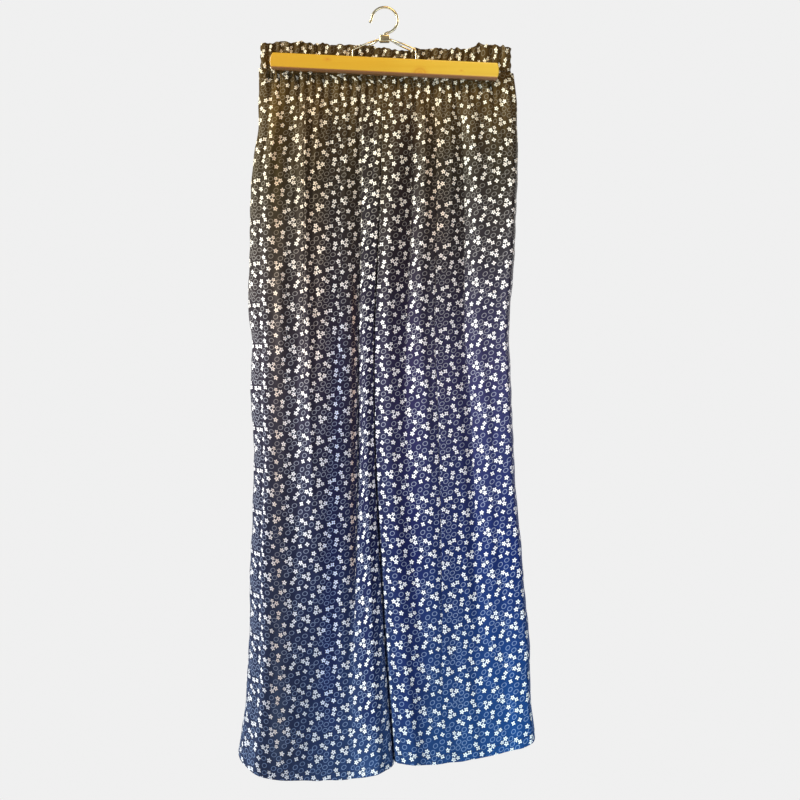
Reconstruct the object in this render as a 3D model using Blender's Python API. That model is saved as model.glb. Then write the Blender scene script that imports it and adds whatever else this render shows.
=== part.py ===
"""Palazzo trousers clamped in a wooden trouser hanger.

Metres, +Z up. The origin is the highest point inside the hook, where a rail
carries it. The front of the trousers faces -Y, and left and right mean -X and
+X, as seen from the front. The garment hangs flat: four panels, two for each
leg, and an elastic waistband with a gathered frill above it. Two slats pinch
the waistband, and a wire bail on each slat runs up through one clasp.

A height on the garment is its drop, the distance below the waistband's mean
top edge. A place across a panel is a fraction, from 0 at the side seam to 1 at
the centre seam, or at the inseam below the crotch.
"""

import math
from collections import namedtuple

import bmesh
import bpy
from mathutils import Vector

MM = 0.001

# ---------------------------------------------------------------- cloth
WALL = 1.2 * MM                # cloth with its turnings
SEAM_GAP = 0.3 * MM            # left between neighbouring pieces
WAIST_TOP = -51.0 * MM         # height of the waistband's mean top edge
CROTCH_DROP = 300.0 * MM       # rise of the trousers
HEM_DROP = 970.0 * MM          # hems at the inseams
BAND_DROP = 34.5 * MM          # waistband's lower edge, at the middle
BAND_SLOPE = 7.0 / 346.0       # it hangs lower towards +X
PINCHED = 3.0 * MM             # half the depth where the slats press
PRESSED_BELOW = 2.5 * MM       # the cloth stays flat this far under a slat
END_DEPTH = 5.5 * MM           # half the depth past the slats' ends
END_CLEAR = 2.0 * MM           # the cloth widens this far past a slat's end
END_EASE = 10.0 * MM           # and takes this much further to do it
BELLY_LENGTH = 75.0 * MM       # from the slats down to the full depth
GATHERS_PER_PANEL = 14
COLUMNS_PER_WAVE = 3
GATHER_PRESSED = 0.45 * MM     # height of the gathers under the slats
GATHER_FREE = 2.0 * MM         # and below them
GATHER_SWELL = 14.0 * MM       # length over which they rise
GATHER_KEEP = 20.0 * MM        # below the waistband they hold this far
GATHER_FADE = 55.0 * MM        # and then fade over this length
FOLD_START = 50.0 * MM         # drop where the long folds begin
FOLD_SWELL = 70.0 * MM         # length over which they rise
EDGE_RISE = 1.0 * MM           # cloth beside a rolled edge
ROLL_START = -40.0 * MM        # drop where the side roll would be nothing
ROLL_LENGTH = 190.0 * MM       # length over which it reaches its full radius

# ---------------------------------------------------------------- hanger
ArmPoint = namedtuple("ArmPoint", "x out height")
SLAT_LENGTH = 310.0 * MM
SLAT_HEIGHT = 19.2 * MM
SLAT_DEPTH = 13.0 * MM
SLAT_DROP = 28.8 * MM          # its middle, below the waistband's top
SLAT_TILT = math.radians(2.7)
SLAT_INNER = 3.8 * MM          # its inner face, from the middle plane
SLAT_BEVEL = 1.6 * MM
BAIL_RADIUS = 1.2 * MM
BAIL_HALF_SPAN = 42.8 * MM
BAIL_PLANE = 9.3 * MM          # the legs stand this far from the middle plane
BAIL_SINK = 9.0 * MM           # depth of the leg's hole in the slat
BAIL_SHOULDER = -60.5 * MM     # height where the legs start to bend in
BAIL_CORNER = 3.5 * MM         # radius of that bend
CLASP_SIZE = (14.0 * MM, 11.5 * MM, 9.5 * MM)
CLASP_MIDDLE = -41.3 * MM
CLASP_BEVEL = 1.0 * MM
CLASP_WIRE_HEIGHT = -42.6 * MM
CLASP_WIRE_PLANE = 2.7 * MM
BAIL_ARM = [                   # the arm from the bend to the clasp
    ArmPoint(26.0 * MM, BAIL_PLANE, -50.7 * MM),
    ArmPoint(22.0 * MM, 8.7 * MM, -49.0 * MM),
    ArmPoint(18.0 * MM, 7.2 * MM, -47.2 * MM),
    ArmPoint(12.0 * MM, 4.2 * MM, -44.5 * MM),
    ArmPoint(9.5 * MM, 3.1 * MM, -43.2 * MM),
    ArmPoint(7.3 * MM, CLASP_WIRE_PLANE, CLASP_WIRE_HEIGHT),
]
HOOK_RADIUS = 1.75 * MM        # half the wire's diameter
HOOK_INSIDE = 16.0 * MM        # half the rail space
HOOK_STEM_END = -39.2 * MM
HOOK_STEM = [(0.0, HOOK_STEM_END), (0.0, -36.2 * MM),
             (0.9 * MM, -34.6 * MM), (3.4 * MM, -33.2 * MM)]
HOOK_FLARE = [(-0.9 * MM, -3.6 * MM), (-2.6 * MM, -6.8 * MM)]
HOOK_TURN = range(-66, 169, 13)  # degrees round the rail
BAIL_TURN = (0, 22, 44, 66)      # degrees round the corner
FIT = 0.3 * MM                 # clearance round a wire in its hole

Section = namedtuple("Section", "drop left right centre depth")
SECTIONS = [  # millimetres
    Section(30, -171.0, 174.5, -3.4, 6.0),
    Section(75, -170.5, 180.0, -3.4, 10.5),
    Section(115, -171.5, 181.5, -3.4, 14.0),
    Section(155, -178.5, 181.5, -3.8, 16.5),
    Section(235, -183.0, 179.0, -7.0, 20.0),
    Section(320, -184.5, 173.5, -10.5, 23.0),
    Section(360, -185.0, 170.5, -12.4, 23.0),
    Section(400, -180.5, 168.5, -13.4, 22.0),
    Section(480, -181.0, 173.0, -13.6, 22.5),
    Section(560, -177.0, 176.0, -11.9, 24.5),
    Section(640, -180.0, 182.0, -8.5, 26.5),
    Section(720, -183.0, 188.5, -4.0, 26.0),
    Section(810, -184.0, 196.0, 1.2, 28.0),
    Section(890, -188.5, 199.0, 6.8, 29.5),
    Section(970, -199.5, 208.0, 13.0, 34.0),
]

FrillPoint = namedtuple("FrillPoint", "x drop")
FRILL_EDGE = [  # the free edge of the frill, millimetres
    FrillPoint(-171, -2.5),
    FrillPoint(-130, -5.0),
    FrillPoint(-75, -1.5),
    FrillPoint(-15, 1.0),
    FrillPoint(20, 6.5),
    FrillPoint(50, 4.5),
    FrillPoint(115, 3.5),
    FrillPoint(130, -2.0),
    FrillPoint(160, 0.5),
    FrillPoint(175, 2.5),
]
FRILL_RIPPLE = 1.6 * MM        # up and down, along that edge
BAND_ROLL = 7.0 * MM           # radius of the waistband's ends
BAND_CALM = 12.0 * MM          # the waves rise over this length from the ends
CASING_ABOVE = 1.0 * MM        # the casing starts this far below a slat's top

BandLevel = namedtuple("BandLevel", "wave depth")
BAND_LEVELS = [  # millimetres, from the frill's edge down
    BandLevel(2.3, 4.4),
    BandLevel(1.7, 3.9),
    BandLevel(0.45, 3.0),
    BandLevel(0.45, 3.0),
]
EDGE, MIDDLE, CASING_TOP, CASING_BOTTOM = range(4)

HemPoint = namedtuple("HemPoint", "across drop")
LEFT_HEM = [
    HemPoint(0.00, 967.0),
    HemPoint(0.08, 976.0),
    HemPoint(0.20, 988.0),
    HemPoint(0.36, 992.5),
    HemPoint(0.70, 988.5),
    HemPoint(0.88, 981.0),
    HemPoint(1.00, 970.0),
]
RIGHT_HEM = [
    HemPoint(0.00, 944.0),
    HemPoint(0.12, 947.0),
    HemPoint(0.40, 961.0),
    HemPoint(0.68, 968.5),
    HemPoint(0.84, 969.5),
    HemPoint(1.00, 967.0),
]

# Each fold line runs from waist to hem. Its place across the panel and its
# rise in millimetres, out from the flat cloth, are given at four heights.
LINE_DROPS = (73.0 * MM, 277.0 * MM, 549.0 * MM, 889.0 * MM)
Fold = namedtuple("Fold", "across rise")

FRONT_LEFT_FOLDS = [
    Fold((0.105, 0.146, 0.114, 0.126), (3.5, 7, 8.5, 9)),
    Fold((0.178, 0.231, 0.205, 0.209), (2, 5.2, 7, 6.5)),
    Fold((0.267, 0.340, 0.353, 0.321), (0, 3.5, 2.8, 2.5)),
    Fold((0.365, 0.448, 0.427, 0.397), (4.5, 6, 4.8, 0)),
    Fold((0.414, 0.495, 0.510, 0.460), (3.5, 3.2, 6.8, -1.5)),
    Fold((0.495, 0.565, 0.559, 0.516), (3.4, 1.5, 4.2, -3)),
    Fold((0.593, 0.658, 0.658, 0.586), (0.5, -0.8, -0.5, -4.5)),
    Fold((0.691, 0.751, 0.749, 0.669), (-2, -4.5, -5, -6)),
    Fold((0.780, 0.844, 0.819, 0.718), (-3.5, -10, -11, -6)),
    Fold((0.906, 0.916, 0.918, 0.812), (0, 0.5, 3, 3)),
]
FRONT_RIGHT_FOLDS = [
    Fold((0.109, 0.083, 0.083, 0.105), (0.5, 5, 6.5, 6)),
    Fold((0.273, 0.186, 0.127, 0.182), (1.5, 4.5, 5.5, 3)),
    Fold((0.362, 0.274, 0.181, 0.288), (4, 1.5, 5, 1.5)),
    Fold((0.451, 0.377, 0.308, 0.380), (-4, -9, -3, -0.5)),
    Fold((0.488, 0.428, 0.380, 0.451), (-2, -6, 0.8, 0.2)),
    Fold((0.525, 0.501, 0.467, 0.529), (0, -2.5, 3, -1.5)),
    Fold((0.621, 0.612, 0.562, 0.593), (-2, 1, 5.2, -1)),
    Fold((0.688, 0.689, 0.634, 0.656), (1.5, 3, 6, -0.5)),
    Fold((0.762, 0.780, 0.772, 0.748), (1, -5, 1.2, 0)),
    Fold((0.829, 0.847, 0.822, 0.805), (3.5, 0.5, 2.2, 2)),
    Fold((0.904, 0.913, 0.888, 0.862), (3, 5, 5, 5)),
]
BACK_LEFT_FOLDS = [
    Fold((0.13, 0.15, 0.15, 0.14), (-2.5, -5, -5, -4)),
    Fold((0.21, 0.24, 0.26, 0.25), (2.5, 5, 4, 2.5)),
    Fold((0.30, 0.32, 0.34, 0.32), (-2.5, -4, -4, -2.5)),
    Fold((0.38, 0.42, 0.41, 0.40), (4, 8, 8, 5)),
    Fold((0.47, 0.49, 0.48, 0.50), (-2.5, -6.5, -4, -2.5)),
    Fold((0.56, 0.58, 0.60, 0.60), (2.5, 4, 5, 4)),
    Fold((0.64, 0.65, 0.67, 0.68), (-4, -8, -8, -4)),
    Fold((0.73, 0.75, 0.76, 0.77), (4, 6.5, 6.5, 4)),
    Fold((0.81, 0.83, 0.84, 0.84), (-1.5, -5, -4, -2.5)),
    Fold((0.89, 0.90, 0.90, 0.90), (1.5, 4, 4, 2.5)),
]
BACK_RIGHT_FOLDS = [
    Fold((0.15, 0.17, 0.16, 0.15), (-1.5, -4, -5, -2.5)),
    Fold((0.24, 0.25, 0.27, 0.26), (2.5, 6.5, 6.5, 4)),
    Fold((0.31, 0.31, 0.33, 0.34), (-4, -8, -6.5, -2.5)),
    Fold((0.41, 0.43, 0.42, 0.44), (2.5, 4, 5, 4)),
    Fold((0.50, 0.52, 0.50, 0.53), (-2.5, -4, -5, -4)),
    Fold((0.57, 0.59, 0.58, 0.62), (4, 8, 6.5, 4)),
    Fold((0.66, 0.66, 0.67, 0.70), (-2.5, -5, -2.5, -1.5)),
    Fold((0.75, 0.76, 0.77, 0.79), (2.5, 5, 5, 4)),
    Fold((0.82, 0.84, 0.85, 0.86), (-2.5, -6.5, -5, -2.5)),
    Fold((0.89, 0.90, 0.91, 0.91), (1.5, 4, 2.5, 2.5)),
]

Leg = namedtuple("Leg", "side_column hem side_roll inseam_roll tip_y tip_x")
LEFT_LEG = Leg("left", LEFT_HEM, 13 * MM, 10 * MM, 8 * MM, 0.8 * MM)
RIGHT_LEG = Leg("right", RIGHT_HEM, 11 * MM, 10 * MM, -10 * MM, 0.0)
NEST_LENGTH = 90.0 * MM        # below the crotch, until the legs lie nested
SINK_START = 70.0 * MM         # drop where the centre seam starts to sink in

# Rows of a panel, as fractions of the way down from the waistband to the hem.
# The slat row follows the slats' lower edge.
SLAT_ROW = 0.012
GATHERED_ROWS = (0.0, SLAT_ROW, 0.030, 0.052)
SLAT_ROW_LEAST = 4.0 * MM      # but never nearer the top row than this
CROTCH_ROW = (CROTCH_DROP - BAND_DROP) / (HEM_DROP - BAND_DROP)
DRAPED_ROWS = (0.085, 0.13, 0.18, 0.23, CROTCH_ROW, 0.34, 0.41, 0.49,
               0.57, 0.65, 0.73, 0.81, 0.89, 0.95, 1.0)
ROLL_ANGLES = tuple(math.radians(a) for a in (0.0, 25.0, 50.0, 72.0, 90.0))
INSEAM_ANGLES = tuple(math.radians(a) for a in (0.0, 35.0, 65.0, 90.0))
WIDE_SPACE = 0.115             # lines further apart get two columns between

COLOURS = {  # base colour, roughness, metallic
    "cloth": ((0.035, 0.042, 0.075, 1.0), 0.85, 0.0),
    "wood": ((0.76, 0.42, 0.06, 1.0), 0.45, 0.0),
    "steel": ((0.62, 0.60, 0.56, 1.0), 0.3, 1.0),
}


# ================================================================ helpers
def clear_scene():
    for old in list(bpy.data.objects):
        bpy.data.objects.remove(old, do_unlink=True)


def material(name):
    """One Principled material for each substance, made once."""
    if name in bpy.data.materials:
        return bpy.data.materials[name]
    colour, roughness, metallic = COLOURS[name]
    made = bpy.data.materials.new(name)
    made.use_nodes = True
    shader = made.node_tree.nodes["Principled BSDF"]
    shader.inputs["Base Color"].default_value = colour
    shader.inputs["Roughness"].default_value = roughness
    shader.inputs["Metallic"].default_value = metallic
    return made


def smoothstep(t):
    t = min(max(t, 0.0), 1.0)
    return t * t * (3.0 - 2.0 * t)


def mix(a, b, t):
    return a + (b - a) * t


def spline(places, values, place):
    """A smooth curve through (place, value) pairs, flat beyond the ends."""
    if place <= places[0]:
        return values[0]
    if place >= places[-1]:
        return values[-1]
    k = 0
    while places[k + 1] < place:
        k += 1

    def tangent(i):
        low = max(i - 1, 0)
        high = min(i + 1, len(places) - 1)
        return (values[high] - values[low]) / (places[high] - places[low])

    span = places[k + 1] - places[k]
    t = (place - places[k]) / span
    start_slope = tangent(k) * span
    end_slope = tangent(k + 1) * span
    return ((2 * t**3 - 3 * t**2 + 1) * values[k]
            + (t**3 - 2 * t**2 + t) * start_slope
            + (3 * t**2 - 2 * t**3) * values[k + 1]
            + (t**3 - t**2) * end_slope)


SECTION_DROPS = [row.drop * MM for row in SECTIONS]
SECTION_VALUES = {
    column: [getattr(row, column) * MM for row in SECTIONS]
    for column in ("left", "right", "centre", "depth")
}


def section(column, drop):
    return spline(SECTION_DROPS, SECTION_VALUES[column], drop)


def band_bottom(x):
    return BAND_DROP + BAND_SLOPE * x


def slat_bottom(x):
    return SLAT_DROP + SLAT_HEIGHT / 2.0 + math.tan(SLAT_TILT) * x


def slat_top(x):
    return slat_bottom(x) - SLAT_HEIGHT


def past_slat(x):
    """0 under the slats, 1 beyond their ends."""
    return smoothstep((abs(x) - SLAT_LENGTH / 2.0 - END_CLEAR) / END_EASE)


def below_slat(x, drop):
    """Distance below the stretch that the slats press flat."""
    return drop - slat_bottom(x) - PRESSED_BELOW


def side_roll(leg, drop):
    """Radius of the cloth's turn at the side seam."""
    return leg.side_roll * smoothstep((drop - ROLL_START) / ROLL_LENGTH)


def quarter_round(distance, radius):
    """0 at an edge, rising as a quarter circle to 1 at the radius."""
    turn = 1.0 - min(distance / radius, 1.0)
    return math.sqrt(1.0 - turn * turn)


# ================================================================ panels
def leg_ends(leg, drop):
    """x of the side seam and of the inner seam at a drop."""
    side = section(leg.side_column, drop)
    inner = section("centre", drop)
    nested = smoothstep((drop - CROTCH_DROP) / NEST_LENGTH)
    towards_side = math.copysign(1.0, side)
    inner += towards_side * SEAM_GAP / 2.0
    inner += nested * leg.tip_x
    return side, inner


def sinking(drop):
    """0 where the centre seam lies on the flat cloth, 1 from the crotch down."""
    return smoothstep((drop - SINK_START) / (CROTCH_DROP - SINK_START))


def tip_depth(leg, facing, drop, flat):
    """How far the inner seam lies out from the middle plane, on one side.

    It is on the flat of the cloth at the waist, sinks to the middle plane at
    the crotch, and then moves aside so that the two legs lie nested.
    """
    nested = smoothstep((drop - CROTCH_DROP) / NEST_LENGTH)
    return mix(flat, 0.0, sinking(drop)) + facing * nested * leg.tip_y


def fold_rise(folds, across, drop, first, last):
    """Height of the folds, a cosine slope from each line to the next."""
    places = [first[0]]
    rises = [first[1]]
    for fold in folds:
        places.append(spline(LINE_DROPS, fold.across, drop))
        rises.append(spline(LINE_DROPS, fold.rise, drop) * MM)
    places.append(last[0])
    rises.append(last[1])
    if across <= places[0]:
        return rises[0]
    for k in range(len(places) - 1):
        if across <= places[k + 1]:
            t = (across - places[k]) / (places[k + 1] - places[k])
            return mix(rises[k], rises[k + 1], (1 - math.cos(math.pi * t)) / 2)
    return rises[-1]


def gather_rise(across, x, drop):
    """Fine gathers that leave the waistband and fade into the folds."""
    swell = smoothstep(below_slat(x, drop) / GATHER_SWELL)
    fade = 1.0 - smoothstep((drop - band_bottom(x) - GATHER_KEEP) / GATHER_FADE)
    height = mix(GATHER_PRESSED, GATHER_FREE, swell) * fade
    drift = 0.5 * math.sin(2 * math.pi * 2.3 * across)  # makes them uneven
    return height * math.cos(2 * math.pi * GATHERS_PER_PANEL * across + drift)


def cloth_flat(x, drop):
    """Half the depth of the garment, without folds, at a place."""
    free = section("depth", drop)
    opened = smoothstep(below_slat(x, drop) / BELLY_LENGTH)
    held = mix(PINCHED, END_DEPTH, past_slat(x))
    return mix(held, max(free, held), opened)


def panel_point(leg, folds, facing, across, row):
    """Outer point of a panel; facing is -1 for the front and 1 for the back."""
    hem_places = [p.across for p in leg.hem]
    hem_drops = [p.drop * MM for p in leg.hem]
    hem_drop = spline(hem_places, hem_drops, across)
    x = mix(*leg_ends(leg, BAND_DROP), across)
    top_drop = band_bottom(x) + SEAM_GAP
    drop = mix(top_drop, hem_drop, row)
    if row == SLAT_ROW:
        drop = max(top_drop + SLAT_ROW_LEAST, slat_bottom(x) + PRESSED_BELOW)
    side, inner = leg_ends(leg, drop)
    width = abs(inner - side)
    x = mix(side, inner, across)

    roll = side_roll(leg, drop)
    first = (roll / width, EDGE_RISE)
    last = (1.0 - leg.inseam_roll / width, EDGE_RISE)
    settled = smoothstep((drop - FOLD_START) / FOLD_SWELL)
    rise = settled * fold_rise(folds, across, drop, first, last)
    rise += gather_rise(across, x, drop)
    flat = cloth_flat(x, drop)

    out = (flat + rise) * quarter_round(across * width, roll)
    tip = tip_depth(leg, facing, drop, flat)
    out = mix(tip, out, quarter_round((1.0 - across) * width, leg.inseam_roll))
    y = facing * (out + SEAM_GAP / 2.0)
    return Vector((x, y, WAIST_TOP - drop))


def roll_fractions(leg, drop):
    """Columns round the side roll and round the inner roll."""
    side, inner = leg_ends(leg, drop)
    width = abs(inner - side)
    roll = side_roll(leg, drop)
    outer = [roll / width * (1.0 - math.cos(a)) for a in ROLL_ANGLES]
    inner_columns = [1.0 - leg.inseam_roll / width * (1.0 - math.sin(a))
                     for a in INSEAM_ANGLES]
    return outer, inner_columns


def draped_columns(leg, folds, drop):
    """Columns on the fold lines, with two more in each wide space."""
    outer, inner_columns = roll_fractions(leg, drop)
    lines = [spline(LINE_DROPS, fold.across, drop) for fold in folds]
    hips = [fold.across[1] for fold in folds]
    columns = list(outer)
    previous_hip = 0.10
    for place, hip in zip(lines, hips):
        if hip - previous_hip > WIDE_SPACE:
            start = columns[-1]
            columns.append(mix(start, place, 1.0 / 3.0))
            columns.append(mix(start, place, 2.0 / 3.0))
        columns.append(place)
        previous_hip = hip
    return columns + inner_columns


def gathered_columns(leg, drop):
    """Evenly spaced columns, three to a gather, between the two rolls."""
    outer, inner_columns = roll_fractions(leg, drop)
    count = GATHERS_PER_PANEL * COLUMNS_PER_WAVE - len(outer) - len(inner_columns)
    start = outer[-1]
    end = inner_columns[0]
    middle = [mix(start, end, (k + 1) / (count + 1)) for k in range(count)]
    return outer + middle + inner_columns


def thick_row(points, facing, ends=None):
    """The inner side of a row: each point moved in by the wall, mitred.

    ends gives the steps of the first and last points, where a seam's own
    plane sets them.
    """
    inner = []
    for k, point in enumerate(points):
        if ends and k in (0, len(points) - 1):
            step = ends[0] if k == 0 else ends[1]
            inner.append(Vector((point.x + step.x, point.y + step.y, point.z)))
            continue
        before = points[max(k - 1, 0)]
        after = points[min(k + 1, len(points) - 1)]
        normals = []
        for a, b in ((before, point), (point, after)):
            along = Vector((b.x - a.x, b.y - a.y))
            if along.length > 1e-9:
                along.normalize()
                normals.append(Vector((-along.y, along.x)))
        mean = sum(normals, Vector((0.0, 0.0))).normalized()
        stretch = 1.0 / max(mean.dot(normals[0]), 0.6)
        step = mean * WALL * stretch * facing
        inner.append(Vector((point.x + step.x, point.y + step.y, point.z)))
    return inner


def stitch(faces, above, below, places_above, places_below):
    """Triangles between two rows that may have different column counts."""
    i = 0
    j = 0
    while i < len(above) - 1 or j < len(below) - 1:
        last_above = i == len(above) - 1
        last_below = j == len(below) - 1
        step_above = last_below or (
            not last_above and places_above[i + 1] <= places_below[j + 1])
        if step_above:
            faces.append((above[i], above[i + 1], below[j]))
            i += 1
        else:
            faces.append((above[i], below[j + 1], below[j]))
            j += 1


def solid_from_rows(name, outer_rows, inner_rows, places, closed):
    """A closed wall from matching rows of outer and inner points."""
    points = []
    outer_index = []
    inner_index = []
    for outer, inner in zip(outer_rows, inner_rows):
        outer_index.append(list(range(len(points), len(points) + len(outer))))
        points.extend(outer)
        inner_index.append(list(range(len(points), len(points) + len(inner))))
        points.extend(inner)
    if closed:
        outer_index = [row + row[:1] for row in outer_index]
        inner_index = [row + row[:1] for row in inner_index]

    faces = []
    for r in range(len(outer_index) - 1):
        if len(outer_index[r]) == len(outer_index[r + 1]):
            above = list(range(len(outer_index[r])))
            below = above
        else:
            above = places[r]
            below = places[r + 1]
        stitch(faces, outer_index[r], outer_index[r + 1], above, below)
        inside = []
        stitch(inside, inner_index[r], inner_index[r + 1], above, below)
        faces.extend(tuple(reversed(face)) for face in inside)
    for row, turned in ((0, True), (-1, False)):
        rim = []
        columns = list(range(len(outer_index[row])))
        stitch(rim, outer_index[row], inner_index[row], columns, columns)
        faces.extend(tuple(reversed(face)) if turned else face for face in rim)
    if not closed:
        for column, turned in ((0, False), (-1, True)):
            rim = []
            outer_edge = [row[column] for row in outer_index]
            inner_edge = [row[column] for row in inner_index]
            rows = list(range(len(outer_edge)))
            stitch(rim, outer_edge, inner_edge, rows, rows)
            faces.extend(tuple(reversed(face)) if turned else face for face in rim)
    return closed_mesh(name, points, faces)


def closed_mesh(name, points, faces):
    """A mesh object whose faces all point out of its volume."""
    mesh = bpy.data.meshes.new(name)
    mesh.from_pydata([tuple(p) for p in points], [], faces)
    work = bmesh.new()
    work.from_mesh(mesh)
    if work.calc_volume(signed=True) < 0.0:
        bmesh.ops.reverse_faces(work, faces=work.faces[:])
    work.to_mesh(mesh)
    work.free()
    mesh.shade_smooth()
    made = bpy.data.objects.new(name, mesh)
    bpy.context.collection.objects.link(made)
    return made


def make_panel(name, leg, folds, facing):
    """One front or back panel, from the waistband to the hem."""
    outer_rows = []
    inner_rows = []
    places = []
    towards_side = math.copysign(1.0, section(leg.side_column, 0.0))
    for row in GATHERED_ROWS + DRAPED_ROWS:
        drop = mix(BAND_DROP, HEM_DROP, row)
        if row in GATHERED_ROWS:
            columns = gathered_columns(leg, drop)
        else:
            columns = draped_columns(leg, folds, drop)
        outer = [panel_point(leg, folds, facing, c, row) for c in columns]
        outer_rows.append(outer)
        side_step = Vector((-towards_side * WALL, 0.0))
        turned = math.pi / 2.0 * sinking(WAIST_TOP - outer[-1].z)
        inner_step = Vector((towards_side * WALL * math.sin(turned),
                             -facing * WALL * math.cos(turned)))
        inner_rows.append(thick_row(outer, facing * towards_side, (side_step, inner_step)))
        places.append(columns)
    panel = solid_from_rows(name, outer_rows, inner_rows, places, closed=False)
    panel.data.materials.append(material("cloth"))
    return panel


# ================================================================ waistband
def frill_edge(x):
    return spline([p.x * MM for p in FRILL_EDGE],
                  [p.drop * MM for p in FRILL_EDGE], x)


def band_ring(level):
    """One row of the waistband, all the way round, at one of four levels."""
    wave_height = BAND_LEVELS[level].wave * MM
    mean_depth = BAND_LEVELS[level].depth * MM
    left = section("left", 0.0)
    right = section("right", 0.0)
    waves = 2 * GATHERS_PER_PANEL
    count = waves * COLUMNS_PER_WAVE
    front = []
    back = []
    for k in range(-1, count + 2):
        t = k / count
        x = mix(left + BAND_ROLL, right - BAND_ROLL, t)
        if k < 0:
            x = left + 0.25 * BAND_ROLL
        if k > count:
            x = right - 0.25 * BAND_ROLL
        edge = min(x - left, right - x)
        calm = smoothstep(edge / BAND_CALM)
        wave = math.cos(2 * math.pi * waves * t + 0.7 * math.sin(9.0 * t))
        depth = max(mean_depth, mix(mean_depth, END_DEPTH, past_slat(x)))
        depth *= quarter_round(edge, BAND_ROLL)
        depth += calm * wave_height * wave
        casing_top = slat_top(x) + CASING_ABOVE
        free_edge = frill_edge(x) + FRILL_RIPPLE * wave * calm
        drop = {
            EDGE: free_edge,
            MIDDLE: mix(free_edge, casing_top, 0.5),
            CASING_TOP: casing_top,
            CASING_BOTTOM: band_bottom(x),
        }[level]
        front.append(Vector((x, -depth, WAIST_TOP - drop)))
        back.append(Vector((x, depth, WAIST_TOP - drop)))
    left_tip = Vector((left, 0.0, front[0].z))
    right_tip = Vector((right, 0.0, front[-1].z))
    return [left_tip] + front + [right_tip] + back[::-1]


def make_waistband():
    """Elastic casing and frill, one strip of gathered cloth."""
    outer_rows = [band_ring(level) for level in range(len(BAND_LEVELS))]
    inner_rows = []
    for outer in outer_rows:
        wrapped = [outer[-1]] + outer + [outer[0]]
        inner_rows.append(thick_row(wrapped, 1)[1:-1])
    places = [list(range(len(row) + 1)) for row in outer_rows]
    band = solid_from_rows("waistband", outer_rows, inner_rows, places, closed=True)
    band.data.materials.append(material("cloth"))
    return band


# ================================================================ hanger
def wire(name, route, radius, sides):
    """A round wire with flat ends along a route, as a mesh."""
    curve = bpy.data.curves.new(name, "CURVE")
    curve.dimensions = "3D"
    curve.bevel_depth = radius
    curve.bevel_resolution = sides
    curve.use_fill_caps = True
    line = curve.splines.new("POLY")
    line.points.add(len(route) - 1)
    for point, place in zip(line.points, route):
        point.co = (place.x, place.y, place.z, 1.0)
    drawn = bpy.data.objects.new(name + "_route", curve)
    bpy.context.collection.objects.link(drawn)
    bpy.context.view_layer.update()
    mesh = bpy.data.meshes.new_from_object(drawn)
    bpy.data.objects.remove(drawn, do_unlink=True)
    work = bmesh.new()
    work.from_mesh(mesh)
    bmesh.ops.remove_doubles(work, verts=work.verts[:], dist=1e-6)
    bmesh.ops.recalc_face_normals(work, faces=work.faces[:])
    work.to_mesh(mesh)
    work.free()
    mesh.name = name
    mesh.materials.clear()
    mesh.materials.append(material("steel"))
    mesh.shade_smooth()
    made = bpy.data.objects.new(name, mesh)
    bpy.context.collection.objects.link(made)
    return made


def cut(target, cutter):
    """Take a cutter's shape out of a piece; the cutter stays as a guide."""
    cutter.hide_render = True
    cutter.display_type = "WIRE"
    boolean = target.modifiers.new("hole for " + cutter.name, "BOOLEAN")
    boolean.operation = "DIFFERENCE"
    boolean.solver = "EXACT"
    boolean.object = cutter


def bevelled_block(name, size, bevel, segments):
    mesh = bpy.data.meshes.new(name)
    work = bmesh.new()
    bmesh.ops.create_cube(work, size=1.0)
    bmesh.ops.scale(work, vec=Vector(size), verts=work.verts[:])
    work.to_mesh(mesh)
    work.free()
    made = bpy.data.objects.new(name, mesh)
    bpy.context.collection.objects.link(made)
    rounding = made.modifiers.new("rounded edges", "BEVEL")
    rounding.width = bevel
    rounding.segments = segments
    return made


def slat_height_at(x):
    """Height of the slat's top face."""
    return WAIST_TOP - slat_top(x)


def bail_route(facing):
    """Up out of the slat, over the frill, through the clasp and down again."""
    plane = facing * BAIL_PLANE
    half = []
    for side in (-1, 1):
        foot_x = side * BAIL_HALF_SPAN
        foot = slat_height_at(foot_x)
        leg = [Vector((foot_x, plane, foot - BAIL_SINK + FIT)),
               Vector((foot_x, plane, foot - 2.0 * MM))]
        for degrees in BAIL_TURN:
            angle = math.radians(degrees)
            inward = BAIL_CORNER * (1.0 - math.cos(angle))
            upward = BAIL_CORNER * math.sin(angle)
            leg.append(Vector((foot_x - side * inward, plane, BAIL_SHOULDER + upward)))
        for x, out, height in BAIL_ARM:
            leg.append(Vector((side * x, facing * out, height)))
        half.append(leg)
    return half[0] + half[1][::-1]


def make_slat(name, facing):
    slat = bevelled_block(name, (SLAT_LENGTH, SLAT_DEPTH, SLAT_HEIGHT), SLAT_BEVEL, 2)
    middle_y = facing * (SLAT_INNER + SLAT_DEPTH / 2.0)
    slat.location = (0.0, middle_y, WAIST_TOP - SLAT_DROP)
    slat.rotation_euler = (0.0, SLAT_TILT, 0.0)
    slat.data.materials.append(material("wood"))
    for side in (-1, 1):
        foot_x = side * BAIL_HALF_SPAN
        top = slat_height_at(foot_x)
        route = [Vector((foot_x, facing * BAIL_PLANE, top - BAIL_SINK)),
                 Vector((foot_x, facing * BAIL_PLANE, top + 3.0 * MM))]
        hole = wire(name + "_hole_" + ("left" if side < 0 else "right"),
                    route, BAIL_RADIUS + FIT, 2)
        cut(slat, hole)
    return slat


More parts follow.
